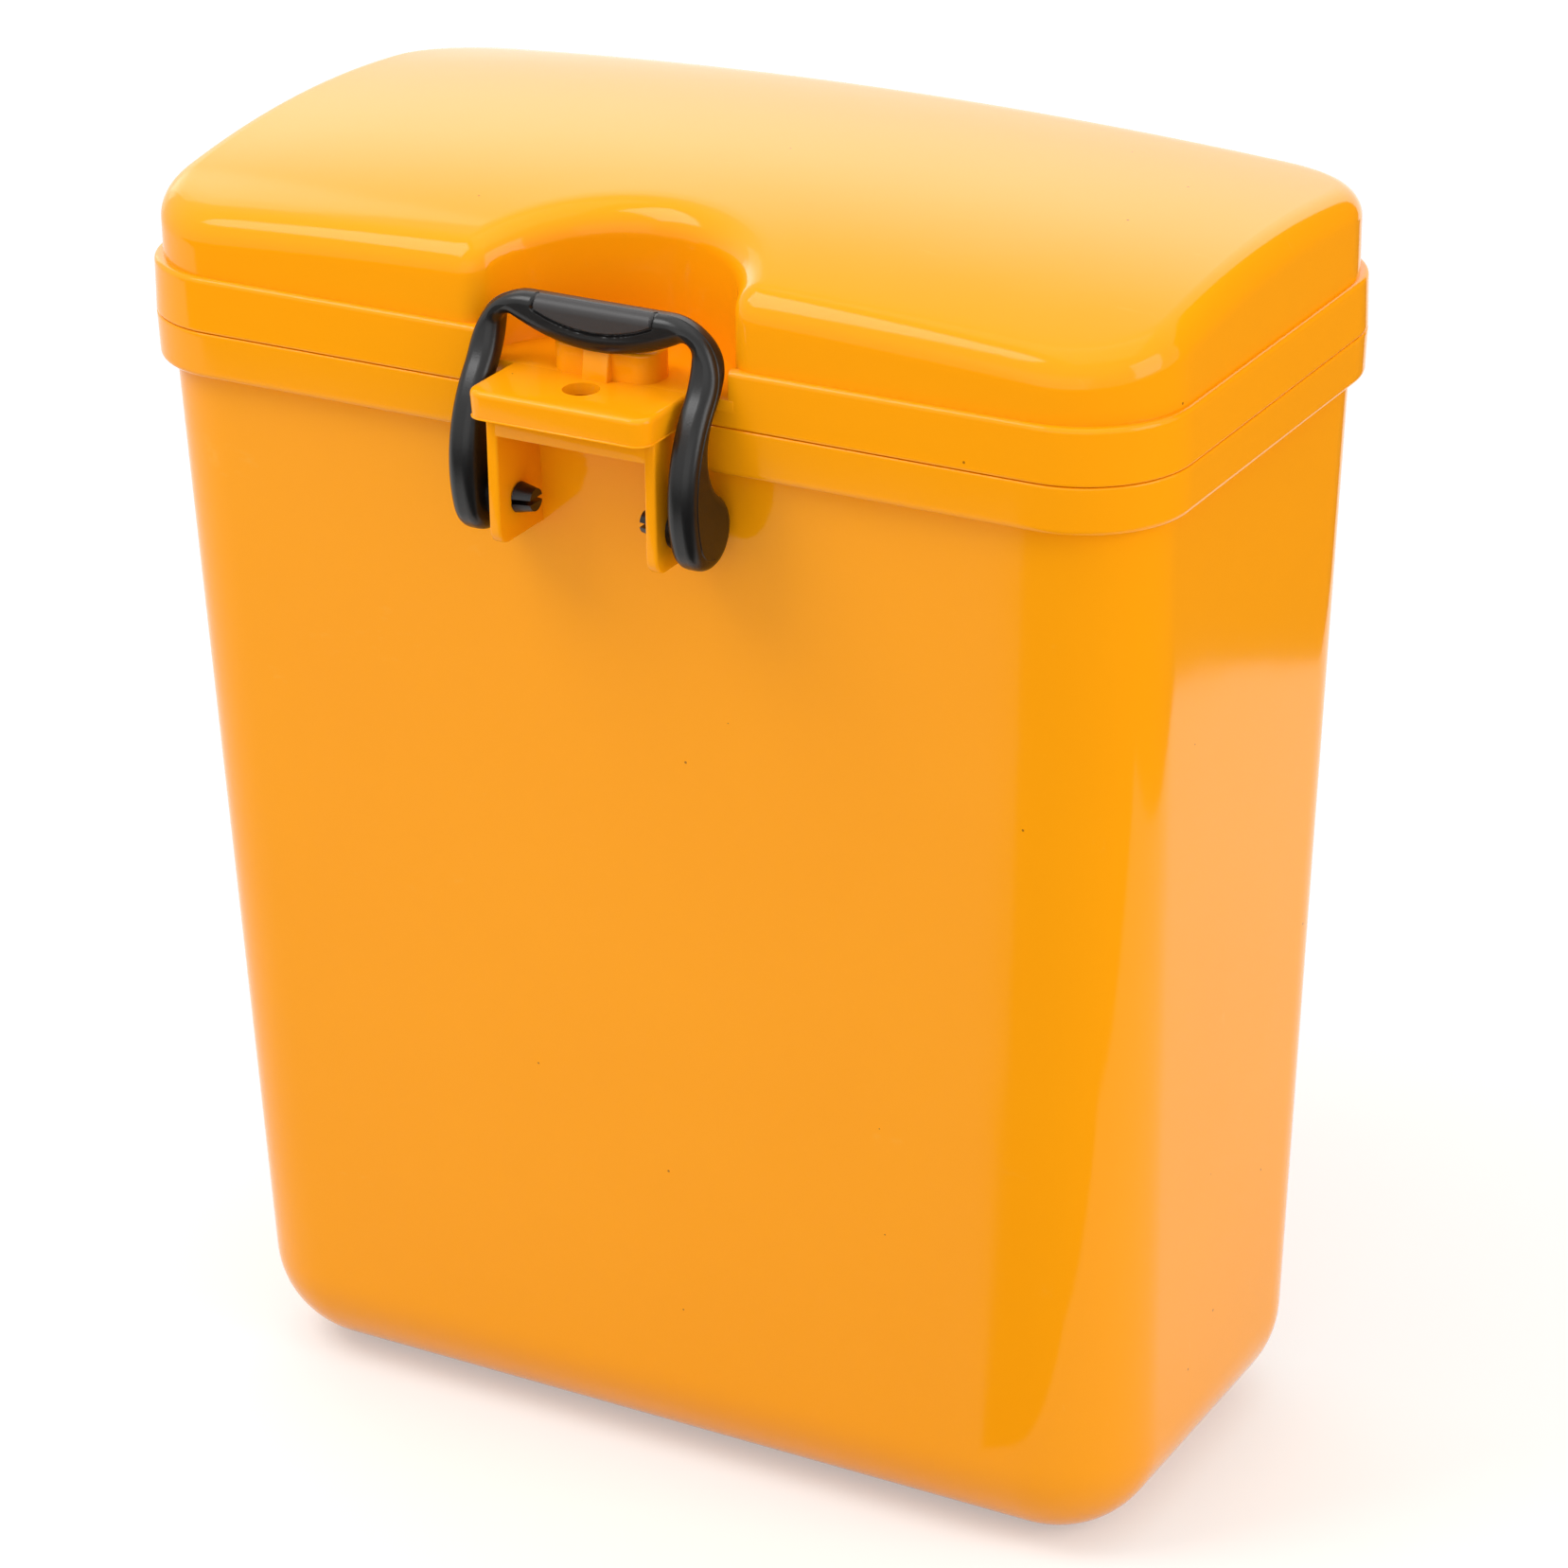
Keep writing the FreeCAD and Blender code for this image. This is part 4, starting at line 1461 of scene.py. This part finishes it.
@dataclass
class Bail(Moulding):
    """The bail: a bar on two curved legs that end in lobes with snap pins."""

    bar_ahead: float = 0.0035
    bar_depth: float = 0.0075
    bar_height: float = 0.0108
    bar_sweep: float = 0.0565
    bar_end_round: float = 0.0025
    bend: float = 0.0149
    edge: float = 0.0027
    bead: float = 0.0002
    lobe: float = 0.0093
    leg_ahead: float = 0.0012
    bow: float = 0.038
    sweep: float = 0.020
    neck: float = 0.014
    shoulder: float = 0.026
    shoulder_gap: float = 0.0005
    pin_radius: float = 0.0032
    collar_radius: float = 0.0052
    collar_gap: float = 0.0003
    barb_radius: float = 0.0038
    barb_tip: float = 0.0028
    barb_length: float = 0.0046
    slot: float = 0.0012
    slot_length: float = 0.006
    grip_half: float = 0.0165
    grip_sweep: float = 0.038
    grip_margin: float = 0.0037
    grip_groove: float = 0.0009
    grip_depth: float = 0.0007
    lobe_steps: int = 14
    leg_steps: int = 44
    bend_steps: int = 30
    leg_top_steps: int = 6
    bar_steps: int = 64
    front_steps: int = 34
    rear_steps: int = 8

    def __post_init__(self) -> None:
        """Works out the places that the curves hang on."""
        latch = self.latch
        self.pivot_y, self.pivot_z = self.pivot
        self.bar_front = -self.half_depth - self.bar_ahead
        self.bar_back = self.bar_front + self.bar_depth
        self.bar_low = self.tongue_top + latch.boss_height + latch.bail_gap
        self.bar_top = self.bar_low + self.bar_height
        inside = self.bow - self.lobe
        climb = math.sqrt(self.leg_ahead * (2.0 * inside - self.leg_ahead))
        leg_front = self.pivot_y - self.lobe - self.leg_ahead
        self.bow_y = leg_front + self.bow
        self.bow_z = self.pivot_z + climb
        self.bow_low = self.pivot_z - climb * self.lobe / inside
        shift = self.bar_front - leg_front
        both = self.bow + self.sweep
        rise = math.sqrt(shift * (2.0 * both - shift))
        self.turn_z = self.bow_z + rise * self.bow / both
        self.sweep_high = self.bow_z + rise
        self.shoulder_y = self.bar_back - self.shoulder
        behind = -self.half_depth - self.shoulder_y
        clear = self.shoulder + self.shoulder_gap
        self.shoulder_z = self.tongue_top + math.sqrt(clear**2 - behind**2)
        lobe = Vector(self.pivot)
        crest = Vector((self.shoulder_y, self.shoulder_z))
        run = crest - lobe
        reach = self.lobe + self.neck
        other = self.shoulder + self.neck
        along = (reach**2 - other**2 + run.length**2) / (2.0 * run.length)
        aside = math.sqrt(reach**2 - along**2)
        run.normalize()
        self.neck_centre = lobe + run * along + Vector((run.y, -run.x)) * aside
        self.neck_low = (lobe + (self.neck_centre - lobe).normalized() * self.lobe).y
        self.neck_high = (crest + (self.neck_centre - crest).normalized() * self.shoulder).y

    @staticmethod
    def _round(
        centre: Sequence[float], radius: float, z: float, face: Face, bulge: Bulge = Bulge.OUT
    ) -> tuple[float, Vector]:
        """A point on a circle of the side view.

        Args:
            centre: the circle's centre in Y and Z.
            radius: its radius.
            z: the height of the point.
            face: the side of the circle that it is on.
            bulge: which way its normal points.

        Returns:
            How far back the point lies, and its normal.
        """
        rise = z - centre[1]
        y = centre[0] + face.value * math.sqrt(max(radius**2 - rise**2, 0.0))
        return y, Vector((y - centre[0], rise)) / radius * bulge.value

    def front(self, z: float) -> tuple[float, Vector]:
        """The front of the side view.

        Args:
            z: a height.

        Returns:
            How far back the front lies there, and its outward normal in Y and Z.
        """
        if z < self.bow_low:
            return self._round(self.pivot, self.lobe, z, Face.FRONT)
        if z < self.turn_z:
            return self._round((self.bow_y, self.bow_z), self.bow, z, Face.FRONT)
        if z < self.sweep_high:
            centre = (self.bar_front - self.sweep, self.sweep_high)
            return self._round(centre, self.sweep, z, Face.REAR, Bulge.IN)
        return self.bar_front, Vector((-1.0, 0.0))

    def rear(self, z: float) -> tuple[float, Vector]:
        """The rear of the side view.

        Args:
            z: a height.

        Returns:
            The same as for the front.
        """
        if z < self.neck_low:
            return self._round(self.pivot, self.lobe, z, Face.REAR)
        if z < self.neck_high:
            return self._round(self.neck_centre, self.neck, z, Face.FRONT, Bulge.IN)
        if z < self.shoulder_z:
            return self._round((self.shoulder_y, self.shoulder_z), self.shoulder, z, Face.REAR)
        return self.bar_back, Vector((1.0, 0.0))

    def stations(self) -> list[tuple[Vector, Vector]]:
        """Pairs of points on the outer and the inner outline, seen from the front.

        Returns:
            The pairs from the left lobe up, across the bar and down to the right lobe.
        """
        latch = self.latch
        corner_z = self.bar_top - self.bend
        climb = corner_z - self.pivot_z
        quarter = [math.radians(90.0 * step / self.lobe_steps) for step in range(self.lobe_steps)]
        heights = [self.pivot_z - self.lobe * math.cos(angle) for angle in quarter]
        heights += [self.pivot_z + climb * step / self.leg_steps for step in range(self.leg_steps)]
        left = [(Vector((-latch.bail_outer, z)), Vector((-latch.bail_inner, z))) for z in heights]
        bulge_z = self.bar_low + self.bar_sweep
        run = latch.bail_inner - self.bar_end_round
        reach = self.bar_sweep + self.bar_end_round
        drop = math.sqrt(reach**2 - run**2)
        leg_top = bulge_z - drop
        meet_x = run * self.bar_sweep / reach
        turn = math.degrees(math.atan2(drop, run))
        outer_run = latch.bail_outer - self.bend
        straight = self.leg_top_steps
        outer = arc((-outer_run, corner_z), self.bend, 180.0, 90.0, self.bend_steps)
        above = [corner_z + (leg_top - corner_z) * step / straight for step in range(straight)]
        inner = [(-latch.bail_inner, z) for z in above]
        inner += arc((-run, leg_top), self.bar_end_round, 180.0, turn, self.bend_steps - straight)
        left += [(Vector(a), Vector(b)) for a, b in zip(outer, inner)]
        for step in range(1, self.bar_steps + 1):
            share = 1.0 - step / self.bar_steps
            x = -meet_x * share
            z = bulge_z - math.sqrt(self.bar_sweep**2 - x**2)
            left.append((Vector((-outer_run * share, self.bar_top)), Vector((x, z))))
        right = [(Vector((-a.x, a.y)), Vector((-b.x, b.y))) for a, b in reversed(left[:-1])]
        return left + right

    def within_grip(self, x: float, z: float) -> float:
        """How far inside the grip's outline a place on the bar's front lies."""
        middle = self.bar_low + self.grip_margin + self.grip_sweep
        return min(self.grip_half - abs(x), self.grip_sweep - math.hypot(x, z - middle))

    def groove(self, x: float, z: float) -> float:
        """How deep the grip's outline is pressed into the bar's front.

        Args:
            x: across the bar.
            z: the height.

        Returns:
            The depth there.
        """
        half = self.grip_groove / 2
        away = (self.within_grip(x, z) - half) / half
        return self.grip_depth * max(0.0, 1.0 - away * away)

    def _face(self, surface: Surface, face: Face) -> list[list[int]]:
        """Adds the points of the front or the rear face with its rounded edges.

        Args:
            surface: what they are added to.
            face: which one it is; the front has the bead and the grip's groove.

        Returns:
            The numbers of its rows, each from the outer to the inner outline.
        """
        in_front = face is Face.FRONT
        profile = self.front if in_front else self.rear
        pieces = self.front_steps if in_front else self.rear_steps
        fillet = quarter_round(self.edge)
        start = list(fillet)
        if in_front:
            start[:0] = [(0.0, self.edge + self.bead * 2), (-self.bead, self.edge + self.bead)]
        rows = []
        for outer, inner in self.stations():
            across = inner - outer
            width = across.length
            inside = width - self.edge * 2
            steps = [*start, *((self.edge + inside * step / pieces, 0.0) for step in range(1, pieces))]
            steps += [(width - into, below) for into, below in reversed(fillet)]
            row = []
            for into, depth in steps:
                place = outer + across * (into / width)
                y, normal = profile(place.y)
                if in_front and place.y > self.bar_low:
                    depth += self.groove(place.x, place.y)
                row.append(Vector((place.x, y - normal.x * depth, place.y - normal.y * depth)))
            rows.append(surface.row(row))
        return rows

    def skin(self) -> Mesh:
        """The bail's whole skin: front and rear faces with rounded edges, and the sides.

        Returns:
            A closed mesh.
        """
        surface = Surface()
        fore = self._face(surface, Face.FRONT)
        rear = self._face(surface, Face.REAR)
        for one, two in zip(fore, fore[1:]):
            surface.bridge(one, two, closed=False)
        for one, two in zip(rear, rear[1:]):
            surface.bridge(two, one, closed=False)
        surface.bridge([row[0] for row in fore], [row[0] for row in rear], closed=False)
        surface.bridge([row[-1] for row in rear], [row[-1] for row in fore], closed=False)
        return surface.mesh("bail_skin")

    def snap_pins(self) -> Mesh:
        """The collars, pins and split barbs inside both legs.

        Returns:
            Both pins in one mesh.
        """
        latch = self.latch
        step = latch.cheek_half - latch.cheek_wall - self.collar_gap
        tip = step - self.barb_length
        collar = latch.cheek_half + self.collar_gap
        profile = [
            (tip, self.barb_tip),
            (step, self.barb_radius),
            (step, self.pin_radius),
            (collar, self.pin_radius),
            (collar, self.collar_radius),
            (latch.bail_inner + self.edge / 2, self.collar_radius),
        ]
        mirrored = [(-along, radius) for along, radius in reversed(profile)]
        half = self.slot / 2
        reach = self.collar_radius
        pins = []
        for side, ordered in ((1, profile), (-1, mirrored)):
            ends = sorted((side * (tip - self.barb_length), side * (tip + self.slot_length)))
            slot = rectangle(*ends, self.pivot_z - half, self.pivot_z + half)
            cutter = prism(slot, Plane.XZ, self.pivot_y - reach, self.pivot_y + reach)
            pins.append(bored(turned(ordered, self.pivot), [cutter]))
        return joined(pins, "bail_snap_pins")

    def build(self, material: Material, pad: Material) -> list[Object]:
        """Makes and dresses the bail.

        Args:
            material: the finish of the moulding.
            pad: the finish of the grip's pad, rougher than the rest of the bail, its lighter colour a
                painted sheen.

        Returns:
            The pieces, which ride on the bail's body.
        """
        pins = self.snap_pins()
        bar = place_piece("bail_bar", self.skin(), "bail", "latch_bail", material, pad)
        # The faces inside the grip's outline take the pad's finish, rougher and with its painted sheen
        for face in bar.data.polygons:
            x, y, z = face.center
            on_front = z > self.bar_low and y < self.bar_front + self.edge
            if on_front and self.within_grip(x, z) > self.grip_groove / 2:
                face.material_index = 1
        return [bar, place_piece("bail_snap_pins", pins, "bail", "latch_bail", material)]


def sheet(name: str, plane: Plane, along: float, outline: Profile, material: Material) -> Object:
    """Lays or stands a flat sheet that belongs to the stage.

    Args:
        name: the sheet's name.
        plane: the plane it lies in.
        along: where that plane is.
        outline: its corners.
        material: what it is covered with.

    Returns:
        The sheet's object.
    """
    surface = Surface()
    surface.cap(surface.row(plane.place(a, b, along) for a, b in outline))
    mesh = surface.mesh(name)
    mesh.materials.append(material)
    piece = linked(name, mesh)
    return piece


@dataclass(frozen=True)
class Card:
    """A card that shows only in reflections, as a photographer shapes a gloss."""

    name: str
    plane: Plane
    along: float
    outline: Profile

    def set_up(self, material: Material) -> None:
        """Stands the card in its place.

        Args:
            material: what it is covered with.
        """
        card = sheet(self.name, self.plane, self.along, self.outline, material)
        card.visible_camera = False
        card.visible_diffuse = False
        card.visible_shadow = False
        card.visible_transmission = False


@dataclass(frozen=True)
class Lamp:
    """A soft box: where it hangs, its width and height, and its power in watts."""

    name: str
    place: Place
    size: Point
    power: float

    def hang(self, aim: Vector) -> None:
        """Hangs the lamp.

        Args:
            aim: what it points at.
        """
        data = bpy.data.lights.new(self.name, "AREA")
        data.shape = "RECTANGLE"
        data.size, data.size_y = self.size
        data.energy = self.power
        lamp = linked(self.name, data)
        lamp.location = self.place
        lamp.rotation_euler = (aim - Vector(self.place)).to_track_quat("-Z", "Y").to_euler()


# Dark cards just above the floor and behind the box, for the dark bands in its gloss
CARD_LIFT = 0.001
DARK_CARDS = (
    Card("flag_corner", Plane.XY, CARD_LIFT, (
        (0.075, -0.10), (-0.96, -2.31), (0.10, -2.9), (2.2, -2.2), (2.6, 0.085), (0.55, -0.02),
        (0.30, -0.165), (0.16, -0.15),
    )),
    Card("flag_front", Plane.XY, CARD_LIFT, rectangle(-2.0, 0.17, -2.0, -0.62)),
    Card("flag_right", Plane.XY, CARD_LIFT, (
        (0.17, 0.6), (0.335, 0.465), (0.55, -0.02), (2.6, -0.02), (2.6, 2.5), (0.17, 2.5),
    )),
    Card("flag_back", Plane.XZ, 1.45, rectangle(0.35, 2.2, 0.0, 1.9)),
)
SOFT_BOXES = (
    Lamp("key", (-0.62, -0.58, 1.3), (0.7, 0.7), 8.5),
    Lamp("front", (0.25, -1.9, 0.7), (2.0, 1.2), 4.0),
    Lamp("overhead", (0.1, 0.1, 1.7), (1.4, 1.0), 3.0),
    Lamp("backdrop", (-0.95, 1.6, 0.95), (2.4, 1.4), 8.5),
    Lamp("right", (1.6, -0.1, 0.8), (0.8, 1.2), 10.0),
)
WHITE = (1.0, 1.0, 1.0, 1.0)


@dataclass
class Studio:
    """The floor, the soft light and the camera.

    Attributes:
        azimuth: how far round to the right the camera stands, in degrees.
        elevation: how far up it stands.
        roll: how far it is tilted.
        distance: how far from its target it stands.
        focal_pixels: its focal length in pixels of the photograph.
        target: what it and the lamps point at.
        clip_end: how far it sees.
        floor_half: half the floor's width.
        floor_colour: the floor's colour.
        floor_reach: how far from the box the floor starts to turn paler, and where it is palest.
        floor_lift: how much white it shows at those two distances.
        world_light: the strength of the room's even light.
        cloth_colour: the colour of the dark cards.
        grade_along: where the graded card stands, behind the box.
        grade_span: its left and its right edge.
        grade_top: its height.
        grade_light: how bright it is.
        grades: pairs of height and shade on it.
    """

    azimuth: float = 29.147
    elevation: float = 24.417
    roll: float = -0.821
    distance: float = 1.30835
    focal_pixels: float = 5391.48
    target: Place = (0.00575, 0.0, 0.16965)
    clip_end: float = 100.0
    floor_half: float = 8.0
    floor_colour: Colour = (0.62, 0.62, 0.61)
    floor_reach: Point = (1.0, 3.0)
    floor_lift: Point = (0.34, 0.5)
    world_light: float = 0.80
    cloth_colour: Colour = (0.05, 0.05, 0.05)
    grade_along: float = 1.2
    grade_span: Point = (-3.0, 0.33)
    grade_top: float = 2.4
    grade_light: float = 2.3
    grades: tuple[Point, ...] = ((0.36, 0.56), (1.0, 1.0), (1.75, 0.42))

    def camera(self) -> None:
        """Stands the camera where the photograph was taken from."""
        azimuth, elevation, roll = (math.radians(v) for v in (self.azimuth, self.elevation, self.roll))
        back = Vector((
            math.sin(azimuth) * math.cos(elevation),
            -math.cos(azimuth) * math.cos(elevation),
            math.sin(elevation),
        ))
        level = Vector((math.cos(azimuth), math.sin(azimuth), 0.0))
        upright = back.cross(level)
        right = level * math.cos(roll) + upright * math.sin(roll)
        up = upright * math.cos(roll) - level * math.sin(roll)
        data = bpy.data.cameras.new("camera")
        data.sensor_width = SENSOR_MM
        data.lens = SENSOR_MM * self.focal_pixels / PHOTO_PIXELS
        data.clip_end = self.clip_end
        matrix = Matrix((right, up, back)).transposed().to_4x4()
        matrix.translation = Vector(self.target) + back * self.distance
        camera = linked("camera", data)
        camera.matrix_world = matrix
        bpy.context.scene.camera = camera

    @staticmethod
    def looked_at(nodes: Nodes) -> NodeSocket:
        """Tells apart what is looked at, straight or in a reflection, from what only gives light.

        Args:
            nodes: the tree of the floor or the room.

        Returns:
            An output that is one for rays from the camera, off a gloss or through glass.
        """
        path = nodes.add("ShaderNodeLightPath")
        seen = path.outputs["Is Camera Ray"]
        for kind in ("Is Glossy Ray", "Is Transmission Ray"):
            either = nodes.work("MAXIMUM")
            nodes.join(seen, either.inputs[0])
            nodes.join(path.outputs[kind], either.inputs[1])
            seen = either.outputs["Value"]
        return seen

    def floor(self) -> None:
        """Lays a pale floor that keeps the box's shadow."""
        material, nodes, leave = bare_material("pale_floor")
        matt = nodes.add("ShaderNodeBsdfDiffuse", Color=(*self.floor_colour, 1.0))
        glow = nodes.add("ShaderNodeEmission", Color=WHITE)
        place = nodes.add("ShaderNodeTexCoord")
        away = nodes.add("ShaderNodeVectorMath", operation="LENGTH")
        near, far = self.floor_reach
        less, more = self.floor_lift
        paler = nodes.add("ShaderNodeMapRange", From_Min=near, From_Max=far, To_Min=less, To_Max=more)
        lift = nodes.work("MULTIPLY")
        both = nodes.add("ShaderNodeAddShader")
        nodes.join(self.looked_at(nodes), lift.inputs[0])
        nodes.wire(
            (place, "Object", away, 0),
            (away, "Value", paler, "Value"),
            (paler, "Result", lift, 1),
            (lift, "Value", glow, "Strength"),
            (matt, "BSDF", both, 0),
            (glow, "Emission", both, 1),
            (both, "Shader", leave, "Surface"),
        )
        reach = self.floor_half
        sheet("floor", Plane.XY, 0.0, rectangle(-reach, reach, -reach, reach), material)

    def cloth(self) -> Material:
        """The black cloth of the cards that keep light out of a reflection.

        Returns:
            The material.
        """
        material, nodes, leave = bare_material("flag_cloth")
        matt = nodes.add("ShaderNodeBsdfDiffuse", Color=(*self.cloth_colour, 1.0))
        nodes.wire((matt, "BSDF", leave, "Surface"))
        return material

    def graded(self) -> Material:
        """The backdrop that the lid's crown mirrors, which is palest across its middle.

        Returns:
            The material.
        """
        material, nodes, leave = bare_material("graded_backdrop")
        place = nodes.add("ShaderNodeTexCoord")
        parts = nodes.add("ShaderNodeSeparateXYZ")
        share = nodes.add("ShaderNodeMapRange", From_Max=self.grade_top)
        shades = nodes.add("ShaderNodeValToRGB")
        ramp = shades.color_ramp
        ramp.interpolation = "EASE"
        # A third stop, beside the two that a ramp starts with
        ramp.elements.new(0.5)
        for stop, (height, shade) in zip(ramp.elements, self.grades):
            stop.position = height / self.grade_top
            stop.color = (shade, shade, shade, 1.0)
        glow = nodes.add("ShaderNodeEmission", Strength=self.grade_light)
        nodes.wire(
            (place, "Object", parts, "Vector"),
            (parts, "Z", share, "Value"),
            (share, "Result", shades, "Fac"),
            (shades, "Color", glow, "Color"),
            (glow, "Emission", leave, "Surface"),
        )
        return material

    def world(self) -> None:
        """Fills the room with even light, and shows it white to the camera."""
        world = bpy.data.worlds.new("studio")
        world.use_nodes = True
        world.node_tree.nodes.clear()
        nodes = Nodes(world.node_tree)
        leave = nodes.add("ShaderNodeOutputWorld")
        room = nodes.add("ShaderNodeBackground", Color=WHITE)
        strength = nodes.add("ShaderNodeMapRange", To_Min=self.world_light, To_Max=1.0)
        nodes.join(self.looked_at(nodes), strength.inputs["Value"])
        nodes.wire((strength, "Result", room, "Strength"), (room, "Background", leave, "Surface"))
        bpy.context.scene.world = world

    def build(self) -> None:
        """Sets the whole studio up."""
        self.camera()
        self.floor()
        self.world()
        cloth = self.cloth()
        for card in DARK_CARDS:
            card.set_up(cloth)
        behind = rectangle(*self.grade_span, 0.0, self.grade_top)
        Card("graded_card", Plane.XZ, self.grade_along, behind).set_up(self.graded())
        for lamp in SOFT_BOXES:
            lamp.hang(Vector(self.target))
        bpy.context.scene.view_settings.view_transform = "Standard"


def dress_pins(material: Material) -> None:
    """Gives the two CAD hinge pins their steel.

    Args:
        material: the finish of the pins.
    """
    for name in ("hinge_pin_left", "hinge_pin_right"):
        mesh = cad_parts[name].data
        mesh.materials.clear()
        mesh.materials.append(material)
        LOG.info("%s: bare CAD node", name)


def main() -> None:
    """Builds the box and its studio."""
    logging.basicConfig(level=logging.INFO, format="%(name)s %(message)s")
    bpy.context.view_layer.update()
    effects = Effects()
    orange = ORANGE_SHELL.material(effects)
    black = BLACK_BAIL.material(effects)
    steel = PIN_STEEL.material(effects)
    pieces = Tub().build(orange)
    pieces += Lid().build(orange)
    pieces += Bail().build(black, GRIP_PAD_PAINTED_SHEEN.material(effects))
    LOG.info("%d finished pieces", len(pieces))
    dress_pins(steel)
    Studio().build()


if __name__ == "__main__":
    main()
